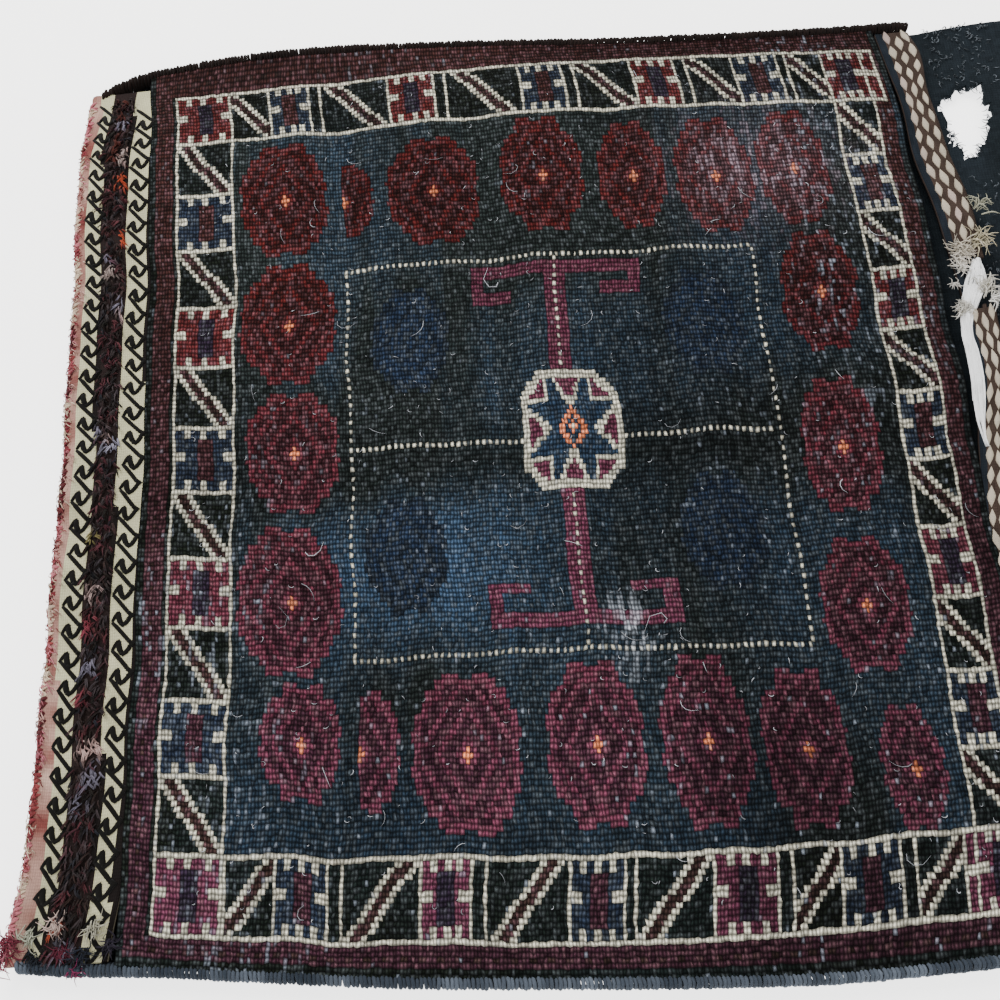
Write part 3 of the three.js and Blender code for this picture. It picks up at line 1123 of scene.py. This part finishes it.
def makeWraps(name, pouch, material, seed):
    # coloured yarn wrapped over the fold's edge, in runs of one colour
    rng = np.random.default_rng(seed)
    q = np.arange(wraps["far"], wraps["near"], -wraps["step"])
    inks = [srgb(text) for text in wraps["inks"]]
    colours = []
    while len(colours) < len(q):
        ink = inks[rng.integers(0, len(inks))]
        colours += [ink * rng.uniform(0.75, 1.2) for _ in range(rng.integers(3, 12))]
    radius = foldRadius(q)
    line = np.stack([-radius * 1.12 + rng.normal(0, 0.0005, len(q)), q, 0 * q], -1)
    path = lineMesh(name, [line], [np.array(colours[:len(q)])])
    piece = grow(name, rowOfMotifs, path, material, wrapMotif(), {
        "Spacing": wraps["spacing"], "Turn": (0, 0, 0.15), "Turn jitter": (0, 0, 0.30), "Size jitter": 0.16,
        "Seed": seed})
    return layOnFold(piece, pouch)


fuzz = {
    "inks": ["8c3a40", "c39a90", "cdb8a2", "7f3a3a", "b9707a", "c8b49c"],
    "hairs": 1000,
    "runs": 60,
    "runsPerMetre": 99,
    "far": 0.290,
    "near": -0.286,
    "length": (0.0018, 0.0055),
    "radius": (0.0003, 0.0005),
}


def makeFoldFuzz(name, pouch, material, seed):
    # short wool ends standing off the wrapped edge
    rng = np.random.default_rng(seed)
    inks = [srgb(text) for text in fuzz["inks"]]
    runs = rng.integers(0, len(inks), fuzz["runs"])
    paths, tones = [], []
    for _ in range(fuzz["hairs"]):
        q = rng.uniform(fuzz["near"], fuzz["far"])
        radius = float(foldRadius(np.array([q]))[0])
        start = radius * rng.uniform(0.2, 1.9)
        length = rng.uniform(*fuzz["length"])
        way = rng.uniform(-math.pi, math.pi)
        s = np.linspace(0, 1, 4)
        h = 0.0014 + 0.0016 * rng.uniform(0.1, 1) * np.sin(s * math.pi * 0.6)
        t = start + length * s * np.cos(way)
        paths.append(foldPlace(pouch, t, q + length * s * np.sin(way + s), h))
        run = runs[int((q + 0.3) * fuzz["runsPerMetre"])]
        tones.append(inks[run] * rng.uniform(0.6, 1.15))
    return tubes(name, paths, [rng.uniform(*fuzz["radius"]) for _ in paths], tones, material, sides=3)


weaveMaterial = clothMaterial(
    "flat weave",
    {"Fibres per metre": 1300.0, "Contrast": 0.5, "Patches per metre": 60.0, "Patchiness": 0.3},
    threads={"Rib depth": 0.35, "Row depth": 0.45, "Wander": 0.3}, bump=0.5, distance=0.0008, shade=0.3)
yarnMaterial = clothMaterial(
    "loose yarn",
    {"Fibres per metre": 2200.0, "Contrast": 0.9, "Patches per metre": 90.0, "Patchiness": 0.4},
    bump=0.5, distance=0.0006, sheen=0.05)

for pouch, letter, seed in ((-1, "a", 51), (1, "b", 71)):
    cloth = keepPiece(makeFoldCloth("fold_cloth_" + letter, pouch, weaveMaterial))
    keepPiece(makeScrolls("scroll_bands_" + letter, pouch, yarnMaterial, seed))
    keepPiece(makeTufts("shaggy_tufts_" + letter, pouch, yarnMaterial, seed + 1))
    keepPiece(makeWraps("fold_wraps_" + letter, pouch, yarnMaterial, seed + 2))
    keepPiece(makeFoldFuzz("fold_fuzz_" + letter, pouch, yarnMaterial, seed + 2))
print("stage: folds and their bands laid")


# The band along a mouth is whole on pouch B and torn on pouch A
mouth = {
    "thickness": 0.0030,
    "far": 0.2965,
    "near": -0.3015,
    "tuckedIn": -0.16,
    "across": 10,
    "cell": 0.0026,
    "sunk": 0.0004,
    "lip": 0.0014,
    "width": 0.019,
    "tear": (0.074, 0.120),
    "ground": "3b302a",
    "pileSide": "1b2026",
    "warpsAcross": 14,
    "weft": 0.0018,
}
bandInner = {
    -1: through([(-0.306, 0.2660), (-0.050, 0.2680), (0.006, 0.2765), (0.056, 0.2805), (0.075, 0.2800),
                 (0.119, 0.2770), (0.145, 0.2745), (0.167, 0.2722), (0.2055, 0.2677), (0.238, 0.2650),
                 (0.280, 0.2610), (0.300, 0.2600)]),
    1: through([(-0.306, 0.2660), (0.0, 0.2675), (0.300, 0.2620)]),
}
bandOuter = {
    -1: through([(-0.306, 0.2850), (-0.050, 0.2870), (0.006, 0.2930), (0.056, 0.2975), (0.075, 0.2970),
                 (0.119, 0.2960), (0.145, 0.2950), (0.167, 0.2935), (0.2055, 0.2875), (0.238, 0.2830),
                 (0.280, 0.2835), (0.300, 0.2800)]),
    1: through([(-0.306, 0.2850), (0.0, 0.2870), (0.300, 0.2830)]),
}


def mouthPlace(pouch, c, q, h):
    # c runs from 0 at the pile to 1 at the mouth's edge
    p = bandInner[pouch](q) * (1 - c) + bandOuter[pouch](q) * c
    lip = mouth["lip"] * np.clip((c - 0.80) / 0.20, 0, 1)**2
    return place(pouch, p, q, faceTop(np.minimum(p, bag["faceEnd"]), q) - mouth["sunk"] - lip + h)


def tornAway(c, q, seed):
    # the bite out of the band, with a ragged edge
    low, high = mouth["tear"]
    samples = 400
    rag = 0.006 * (softNoise((1, samples), (1, 46), seed)[0] - 0.5)
    wobble = np.interp(c, np.linspace(0, 1, samples), rag)
    return (q > low + wobble) & (q < high - 0.010 * c + wobble) & (c > 0.02)


def makeMouthBand(name, pouch, material):
    q = np.arange(mouth["far"], mouth["near"], -mouth["cell"])[None, :]
    c = np.linspace(mouth["tuckedIn"], 1, mouth["across"] + 1)[:, None]
    q, c = q + 0 * c, c + 0 * q
    keep = np.ones((c.shape[0] - 1, c.shape[1] - 1), bool)
    if pouch < 0:
        keep = ~tornAway(c[:-1, :-1] + 0.05, q[:-1, :-1], 5)
    colour = np.empty((*keep.shape, 3))
    colour[:] = srgb(mouth["ground"])
    colour[c[:-1, :-1] < 0.03] = srgb(mouth["pileSide"])
    colour = colour * (0.75 + 0.5 * softNoise(keep.shape, (6, 90), 33))[..., None]
    outer = mouthPlace(pouch, c, q, 0 * c)
    inner = mouthPlace(pouch, c, q, 0 * c - mouth["thickness"])
    threads = np.stack([c * mouth["warpsAcross"], q / mouth["weft"]], -1)
    return clothShell(name, outer, inner, colour, threads, material, pouch > 0, keep=keep)


drops = {
    "inks": ["b3a896", "a7958c"],
    "rows": (0.17, 0.48, 0.79),
    "spacing": 0.0131,
    "stagger": 0.0065,
    "far": 0.292,
    "near": -0.297,
    "length": 0.0125,
    "width": 0.0056,
    "height": 0.0011,
    "foot": -0.0004,
    "lean": 0.0008,
    "clearOfTear": (0.003, 0.004),
}


def dropMotif():
    # a lozenge of cream yarn floats, pointed at both ends and pillowed
    high, foot = drops["height"], drops["foot"]
    section = [(-1, foot), (-0.62, 0.75 * high), (0, high), (0.62, 0.75 * high), (1, foot)]
    t = np.linspace(-1, 1, 7)
    points = []
    for at in t:
        w = drops["width"] / 2 * max(0.06, (1 - abs(at)**1.5))
        for s, z in section:
            points.append((s * w + drops["lean"] * at, at * drops["length"] / 2,
                           z * (1 - 0.75 * at**2) if z > 0 else z))
    return motifMesh("drop motif", points, ringFaces(0, len(t), len(section)))


def makeMouthDrops(name, pouch, material, seed):
    rng = np.random.default_rng(seed)
    inks = np.array([srgb(text) for text in drops["inks"]])
    low, high = mouth["tear"][0] - drops["clearOfTear"][0], mouth["tear"][1] + drops["clearOfTear"][1]
    lines, colours = [], []
    for i, c in enumerate(drops["rows"]):
        q = np.arange(drops["far"] - drops["stagger"] * (i % 2), drops["near"], -drops["spacing"])
        runs = np.split(q, np.nonzero(np.diff((q > low) & (q < high)))[0] + 1)
        for run in runs:
            torn = pouch < 0 and low < run[0] < high
            if torn or len(run) < 2:
                continue
            lines.append(np.stack([mouth["width"] * (c + 0 * run), run, 0 * run], -1))
            ink = np.where(rng.random(len(run)) < 0.93, 0, 1)
            colours.append(inks[ink] * rng.uniform(0.85, 1.1, len(run))[:, None])
    path = lineMesh(name, lines, colours)
    piece = grow(name, rowOfMotifs, path, material, dropMotif(), {
        "Spacing": drops["spacing"], "Turn": (0, 0, 0.12), "Turn jitter": (0.03, 0.05, 0.10),
        "Size jitter": 0.10, "Seed": seed})
    return layMesh(piece, lambda x, y, z: mouthPlace(pouch, x / mouth["width"], y, z), pouch > 0)


for pouch, letter, seed in ((-1, "a", 82), (1, "b", 92)):
    band = keepPiece(makeMouthBand("mouth_band_" + letter, pouch, weaveMaterial))
    keepPiece(makeMouthDrops("mouth_floats_" + letter, pouch, yarnMaterial, seed))
print("stage: mouth bands laid")


# The back and the bridge are one plain weave from fold to fold
back = {
    "underside": 0.0004,
    "top": 0.0038,
    "bridgeCell": 0.0028,
    "pouchCell": 0.016,
    "across": 208,
    "beyondMouth": 0.012,
    "shortOfFold": 0.012,
    "neck": {1: 0.009, -1: 0.004},
    "pouchFrom": -0.316,
    "pouchTo": 0.288,
    "thread": 0.0019,
    "inks": ("171c1f", "1e2429"),
    "holeAt": (-0.1195, 0.2140),
    "holeCorners": [(-1.95, 0.0118), (-1.64, 0.0200), (-0.90, 0.0140), (0.28, 0.0158), (0.95, 0.0285),
                    (1.19, 0.0415), (1.35, 0.0350), (1.52, 0.0362), (1.73, 0.0325), (1.94, 0.0328),
                    (2.31, 0.0160), (3.14, 0.0095)],
    "seed": 101,
}


def holeReach(angle):
    at = np.array([corner[0] for corner in back["holeCorners"]])
    reach = np.array([corner[1] for corner in back["holeCorners"]])
    at = np.concatenate([at - 2 * math.pi, at, at + 2 * math.pi])
    ragged = 0.0007 * np.sin(angle * 9 + 1) + 0.0005 * np.sin(angle * 17)
    return np.interp(angle, at, np.tile(reach, 3)) + ragged


def edgeAt(x, side):
    # the cloth's edge along the whole bag: the pouches' own, joined over the bridge
    edge = farEdge if side > 0 else nearEdge
    p = bag["middleX"] - np.abs(x)
    neck = np.cos(np.clip(x / bag["mouthX"], -1, 1) * math.pi / 2)
    return edge(np.clip(p, back["pouchFrom"], back["pouchTo"])) + back["neck"][side] * neck


def makeBack(name, material):
    ends = bag["halfLength"] - back["shortOfFold"]
    bridge = bag["mouthX"] + back["beyondMouth"]
    inBridge = np.arange(-bridge, bridge, back["bridgeCell"])
    inPouch = np.arange(bridge, ends, back["pouchCell"])
    x = np.concatenate([-inPouch[::-1], inBridge[1:], inPouch])[:, None]
    share = np.linspace(0, 1, back["across"] + 1)[None, :]
    y = edgeAt(x, 1) * (1 - share) + edgeAt(x, -1) * share
    x = x + 0 * y
    dx, dy = x - back["holeAt"][0], y - back["holeAt"][1]
    angle, away = np.arctan2(dy, dx), np.hypot(dx, dy)
    reach = holeReach(angle)
    gone = away < reach
    keep = ~(gone[:-1, :-1] | gone[1:, :-1] | gone[:-1, 1:] | gone[1:, 1:])
    near = (away < reach + 1.1 * back["bridgeCell"]) & ~gone
    x = np.where(near, back["holeAt"][0] + reach * np.cos(angle), x)
    y = np.where(near, back["holeAt"][1] + reach * np.sin(angle), y)
    flat = np.clip((np.abs(x) - bag["mouthX"]) / 0.02, 0, 1)
    wave = (1 - flat) * (0.0010 * np.sin(x * 43 + y * 21) + 0.0008 * np.sin(y * 60 + x * 12 + 1))
    rng = np.random.default_rng(back["seed"])
    rise = rng.normal(0, 0.00012, x.shape) + wave + 0.0010 * (1 - flat)
    colour = np.empty((*keep.shape, 3))
    blend = softNoise(keep.shape, (30, 6), 35)[..., None]
    dark, pale = (srgb(text) for text in back["inks"])
    colour[:] = dark * (1 - blend) + pale * blend
    colour *= (0.85 + 0.3 * rng.random(keep.shape))[..., None]
    top = np.stack([x, y, back["top"] + rise], -1)
    under = np.stack([x, y, back["underside"] + np.clip(rise, 0, 1)], -1)
    threads = np.stack([x / back["thread"], y / back["thread"]], -1)
    return clothShell(name, top, under, colour, threads, material, False, keep=keep)


backCloth = keepPiece(makeBack("back_cloth", weaveMaterial))
print("stage: back and bridge woven")


seams = {
    "inks": {1: ("17110f", "3a2a26"), -1: ("262d36", "5f6772")},
    "worn": {1: 0.25, -1: 0.9},
    "spacing": 0.0024,
    "step": 0.004,
    "beforeMouth": 0.006,
    "lean": 0.0012,
    "outside": 0.0012,
    "halfWidth": 0.0032,
    "halfHeight": 0.0062,
    "yarn": 0.0012,
    "clear": 0.0004,
}


def ringMotif():
    # one turn of yarn round both layers: an oval ring, leaning a little
    around, sides = 12, 5
    turn = np.linspace(0, 2 * math.pi, around, endpoint=False)
    ring = np.linspace(0, 2 * math.pi, sides, endpoint=False)
    points, faces = [], []
    for a in turn:
        away = np.array([0, math.cos(a), math.sin(a)])
        centre = np.array([seams["lean"] * math.sin(a), seams["halfWidth"] * math.cos(a),
                           seams["halfHeight"] * math.sin(a)])
        for b in ring:
            offset = math.cos(b) * away + math.sin(b) * np.array([1.0, 0, 0])
            points.append(tuple(centre + seams["yarn"] * offset))
    for i in range(around):
        for k in range(sides):
            j, m = (i + 1) % around, (k + 1) % sides
            faces.append((i * sides + k, i * sides + m, j * sides + m, j * sides + k))
    return motifMesh("ring motif", points, faces)


def seamPlace(pouch, p, dy, z, side):
    edge = farEdge if side > 0 else nearEdge
    low = seams["halfHeight"] + seams["yarn"] + seams["clear"]
    q = edge(p) + side * seams["outside"] + dy
    x = pouch * (bag["middleX"] - p)
    return np.stack(np.broadcast_arrays(x, q, np.maximum(z + low, 0.0003)), -1)


def makeSeam(name, pouch, side, material, seed):
    rng = np.random.default_rng(seed)
    start = foldEdge(0.29 * side) + 0.009
    p = np.arange(start, bag["middleToMouth"] - seams["beforeMouth"], seams["step"])
    dark, pale = (srgb(text) for text in seams["inks"][side])
    patches = softNoise((len(p), 1), (36, 1), seed)
    share = np.clip(seams["worn"][side] * patches * rng.uniform(0.3, 1.6, (len(p), 1)), 0, 1)
    colours = dark * (1 - share) + pale * share
    path = lineMesh(name, [np.stack([p, 0 * p, 0 * p], -1)], [colours])
    piece = grow(name, rowOfMotifs, path, material, ringMotif(), {
        "Spacing": seams["spacing"], "Turn": (0, 0, 0.1), "Turn jitter": (0.05, 0.04, 0.16),
        "Size jitter": 0.07, "Seed": seed})
    return layMesh(piece, lambda x, y, z: seamPlace(pouch, x, y, z, side), pouch > 0)


for pouch, letter in ((-1, "a"), (1, "b")):
    for side, word in ((1, "far"), (-1, "near")):
        node = f"side_seam_{letter}_{word}"
        seam = makeSeam(f"seam_yarn_{letter}_{word}", pouch, side, yarnMaterial, 200 + 7 * pouch + side)
        keepPiece(seam, node)
print("stage: side seams overcast")


def layPath(points):
    # given rows of p, q and height as a smooth line lying on the face of pouch A
    at = np.linspace(0, 1, len(points))
    fine = np.linspace(0, 1, 6 * (len(points) - 1) + 1)
    p, q, h = (through(list(zip(at, points[:, k])))(fine) for k in range(3))
    return place(-1, p, q, faceTop(np.minimum(p, bag["faceEnd"]), q) + h)


bared = {
    "yarns": 64,
    "spine": [(0.2905, 0.108), (0.2890, 0.100), (0.2865, 0.090), (0.2810, 0.076), (0.2780, 0.068),
              (0.2760, 0.055), (0.2757, 0.045), (0.2745, 0.028), (0.2732, 0.010), (0.2738, -0.004),
              (0.2748, -0.020)],
    "widthAt": (-0.02, -0.01, 0.01, 0.03, 0.045, 0.068, 0.09, 0.10, 0.108),
    "widths": (0.25, 0.5, 1.1, 1.3, 1.1, 1.0, 2.4, 1.6, 0.7),
    "halfWidth": 0.0017,
    "radius": (0.0005, 0.0010),
    "sunk": 0.0012,
    "seed": 301,
}


def makeWhiteStrand(name, material):
    # the white warps laid bare between pile and band, frayed at both ends
    rng = np.random.default_rng(bared["seed"])
    paths, radii, tones = [], [], []
    spine = np.array(bared["spine"])
    for _ in range(bared["yarns"]):
        side = np.clip(rng.normal(0, 1), -1.7, 1.7)
        first = rng.integers(0, 3)
        last = len(spine) - rng.integers(0, 3)
        line = spine[first:last].copy()
        width = bared["halfWidth"] * np.interp(line[:, 1], bared["widthAt"], bared["widths"])
        line[:, 0] += side * width + rng.normal(0, 0.0004, len(line))
        height = 0.0006 + 0.0018 * np.exp(-side**2) * rng.uniform(0.3, 1, len(line))
        paths.append(layPath(np.column_stack([line, height - bared["sunk"]])))
        radii.append(rng.uniform(*bared["radius"]))
        tones.append(srgb("ffffff") * rng.uniform(0.9, 1.0))
    return tubes(name, paths, radii, tones, material, sides=4)


def burst(rng, centre, count, reach, lift, tone, way, spread):
    # a tuft of short bent ends from one place on the face of pouch A; way None is every way
    sunk = 0.0005
    made = []
    for _ in range(count):
        angle = rng.uniform(-math.pi, math.pi) if way is None else way + rng.normal(0, spread)
        length = reach * rng.uniform(0.5, 1.2)
        bend = rng.normal(0, 0.9)
        s = np.linspace(0, 1, 3)
        start = np.array(centre) + rng.normal(0, reach * 0.22, 2)
        p = start[0] + length * s * np.cos(angle + bend * s)
        q = start[1] + length * s * np.sin(angle + bend * s)
        h = lift * rng.uniform(0.2, 1.2) * np.sin(s * math.pi * rng.uniform(0.5, 0.95))
        made.append((layPath(np.column_stack([p, q, h - sunk])), srgb(tone) * rng.uniform(0.75, 1.1)))
    return made


def makeBursts(name, bursts, seed, material):
    rng = np.random.default_rng(seed)
    made = []
    for each in bursts:
        made += burst(rng, *each)
    paths, tones = zip(*made)
    return tubes(name, paths, [rng.uniform(0.0003, 0.0006) for _ in paths], tones, material, sides=3)


# Each burst: centre, count of ends, reach, lift, ink, way they point and how far they stray from it
tornBursts = [
    ((0.2815, 0.118), 60, 0.010, 0.004, "c9c0b0", -1.2, 0.9),
    ((0.2925, 0.121), 44, 0.011, 0.005, "b9b096", 0.2, 0.7),
    ((0.2780, 0.112), 30, 0.008, 0.003, "d2cbbf", -1.3, 0.5),
    ((0.2790, 0.104), 24, 0.007, 0.003, "dad5cb", -1.5, 0.5),
    ((0.2765, 0.072), 70, 0.007, 0.0045, "dedad0", 1.9, 1.0),
    ((0.2925, 0.086), 50, 0.009, 0.0055, "d8d4c8", 1.2, 0.8),
    ((0.2960, 0.079), 26, 0.008, 0.003, "e2dfd8", 0.2, 0.5),
    ((0.2735, 0.092), 16, 0.005, 0.002, "cfcac2", None, 1.0),
    ((0.2980, 0.147), 20, 0.009, 0.004, "a9a894", 0.4, 0.6),
]

# At the near corner by the fold the bands have come loose
cornerBursts = [
    ((-0.322, -0.276), 46, 0.012, 0.003, "6d2b38", -1.9, 0.7),
    ((-0.325, -0.284), 30, 0.011, 0.003, "9a5a66", -2.2, 0.7),
    ((-0.309, -0.272), 26, 0.009, 0.003, "a9ab98", -2.2, 0.7),
    ((-0.296, -0.266), 44, 0.008, 0.003, "c3aca2", -0.8, 0.7),
    ((-0.292, -0.280), 44, 0.009, 0.003, "57202f", -1.0, 0.7),
    ((-0.280, -0.284), 40, 0.009, 0.003, "20242e", -1.4, 0.7),
    ((-0.272, -0.269), 34, 0.008, 0.003, "b9b5a2", -1.3, 0.7),
    ((-0.263, -0.280), 34, 0.007, 0.003, "2a2530", -1.4, 0.7),
    ((-0.282, -0.292), 16, 0.006, 0.003, "7c2a50", -1.5, 0.7),
    ((-0.306, -0.285), 26, 0.008, 0.003, "1c2028", -1.6, 0.7),
]

frays = {
    "ends": 150,
    "inks": ("2c343c", "8d9196"),
    "length": (0.0015, 0.006),
    "crumbs": 420,
    "crumbInk": "6d747b",
    "crumbX": (-0.136, -0.090),
    "crumbDepth": 0.33,
    "clearOfHole": 0.034,
    "radius": (0.00025, 0.00045),
    "seed": 304,
}


def makeHoleEnds(name, material):
    # broken threads round the hole's edge, and fluff caught on the bridge beside the torn mouth
    rng = np.random.default_rng(frays["seed"])
    dark, pale = (srgb(text) for text in frays["inks"])
    paths, tones = [], []
    for _ in range(frays["ends"]):
        angle = rng.uniform(-math.pi, math.pi)
        reach = holeReach(angle) + 0.001
        length = rng.uniform(*frays["length"])
        s = np.linspace(0, 1, 4)
        turned = angle + math.pi + rng.normal(0, 0.5) + rng.normal(0, 0.8) * s
        x = back["holeAt"][0] + reach * math.cos(angle) + length * s * np.cos(turned)
        y = back["holeAt"][1] + reach * math.sin(angle) + length * s * np.sin(turned)
        z = back["top"] * rng.uniform(0.4, 1.1) + 0.0015 * s * rng.uniform(-1, 1)
        paths.append(np.stack([x, y, np.maximum(z, 0.0007)], -1))
        tones.append(dark if rng.random() < 0.72 else pale)
    for _ in range(frays["crumbs"]):
        x = rng.uniform(*frays["crumbX"])
        y = float(edgeAt(np.array([x]), 1)[0]) - frays["crumbDepth"] * rng.random()**1.6
        if math.hypot(x - back["holeAt"][0], y - back["holeAt"][1]) < frays["clearOfHole"]:
            continue
        length = rng.uniform(0.001, 0.004)
        s = np.linspace(0, 1, 4)
        way = rng.uniform(-math.pi, math.pi) + 1.5 * s
        z = back["top"] + 0.0018 + 0.0012 * np.sin(s * math.pi)
        paths.append(np.stack([x + length * s * np.cos(way), y + length * s * np.sin(way), z], -1))
        tones.append(srgb(frays["crumbInk"]) * rng.uniform(0.2, 0.9))
    return tubes(name, paths, [rng.uniform(*frays["radius"]) for _ in paths], tones, material, sides=4)


lint = {
    "ink": "b9bcc2",
    "p": (-0.225, 0.255),
    "q": (-0.275, 0.285),
    "usual": (0.0012, 0.0035),
    "long": (0.006, 0.014),
    "shareUsual": 0.93,
    "radius": (0.00018, 0.00032),
    "rise": 0.0012,
}


def makeLint(name, pouch, material, count, seed):
    # fine pale fibres and curled ends on the worn pile
    rng = np.random.default_rng(seed)
    paths, radii, tones = [], [], []
    for _ in range(count):
        p = rng.uniform(*lint["p"])
        q = rng.uniform(*lint["q"])
        patch = math.exp(-((p - 0.165) / 0.06)**2 - ((q - 0.20) / 0.05)**2)
        patch += math.exp(-((p - 0.045) / 0.03)**2 - ((q + 0.13) / 0.05)**2)
        if rng.random() > 0.35 + 0.65 * patch:
            continue
        length = rng.uniform(*(lint["usual"] if rng.random() < lint["shareUsual"] else lint["long"]))
        s = np.linspace(0, 1, 5)
        way = rng.normal(-math.pi / 2, 0.8) + rng.normal(0, 1.3) * s
        line = np.stack([p + length * s * np.cos(way), q + length * s * np.sin(way)], -1)
        radius = rng.uniform(*lint["radius"])
        rise = rng.uniform(0, lint["rise"]) * np.sin(s * math.pi)
        on = faceTop(line[:, 0], line[:, 1]) + radius * 0.6 + rise
        paths.append(place(pouch, line[:, 0], line[:, 1], on))
        radii.append(radius)
        tones.append(srgb(lint["ink"]) * rng.uniform(0.35, 1.0))
    return tubes(name, paths, radii, tones, material, sides=4)


keepPiece(makeWhiteStrand("bared_warps", yarnMaterial))
keepPiece(makeBursts("torn_band_ends", tornBursts, 302, yarnMaterial))
keepPiece(makeBursts("corner_ends", cornerBursts, 303, yarnMaterial))
keepPiece(makeHoleEnds("hole_ends", yarnMaterial))
keepPiece(makeLint("pile_lint_a", -1, yarnMaterial, 1500, 311))
keepPiece(makeLint("pile_lint_b", 1, yarnMaterial, 500, 312))
print("stage: damage and loose ends made")


studio = {
    "floorReach": 6.0,
    "floorHeight": -0.001,
    "worldStrength": 0.8,
    "cameraPlace": (-0.430, -0.2243, 0.632),
    "cameraTurn": (17.09, 3.42, -3.01),
    "lens": 37.08,
    "floorColour": "f3f2ef",
    "floorLift": 2.4,
    "keyPower": 46.0,
    "fillPower": 22.0,
}


def makeFloor():
    mesh = bpy.data.meshes.new("floor")
    corners = [(-1, -1), (1, -1), (1, 1), (-1, 1)]
    mesh.from_pydata([(studio["floorReach"] * x, studio["floorReach"] * y, studio["floorHeight"])
                      for x, y in corners], [], [(0, 1, 2, 3)])
    material = bpy.data.materials.new("pale floor")
    material.use_nodes = True
    shader = material.node_tree.nodes["Principled BSDF"]
    shader.inputs["Base Color"].default_value = (*srgb(studio["floorColour"]), 1)
    shader.inputs["Roughness"].default_value = 0.8
    shader.inputs["Emission Color"].default_value = (1, 1, 1, 1)
    shader.inputs["Emission Strength"].default_value = studio["floorLift"]
    mesh.materials.append(material)
    floor = link("floor", mesh)


def makeLight(name, place, aim, size, power):
    light = bpy.data.lights.new(name, "AREA")
    light.shape = "DISK"
    light.size = size
    light.energy = power
    lamp = link(name, light)
    lamp.location = place
    lamp.rotation_euler = (Vector(aim) - Vector(place)).to_track_quat("-Z", "Y").to_euler()


def makeCamera():
    camera = bpy.data.cameras.new("camera")
    camera.lens = studio["lens"]
    camera.sensor_width = 36
    camera.clip_start = 0.01
    eye = link("camera", camera)
    eye.location = studio["cameraPlace"]
    eye.rotation_euler = [math.radians(a) for a in studio["cameraTurn"]]
    bpy.context.scene.camera = eye


makeFloor()
makeLight("key", (-1.1, 1.2, 1.5), (-0.3, 0, 0), 1.2, studio["keyPower"])
makeLight("fill", (0.9, -1.0, 1.8), (-0.2, 0, 0), 2.2, studio["fillPower"])
world = bpy.data.worlds.new("studio")
world.use_nodes = True
background = world.node_tree.nodes["Background"]
background.inputs["Color"].default_value = (1, 1, 1, 1)
background.inputs["Strength"].default_value = studio["worldStrength"]
bpy.context.scene.world = world
makeCamera()

print("stage: done")
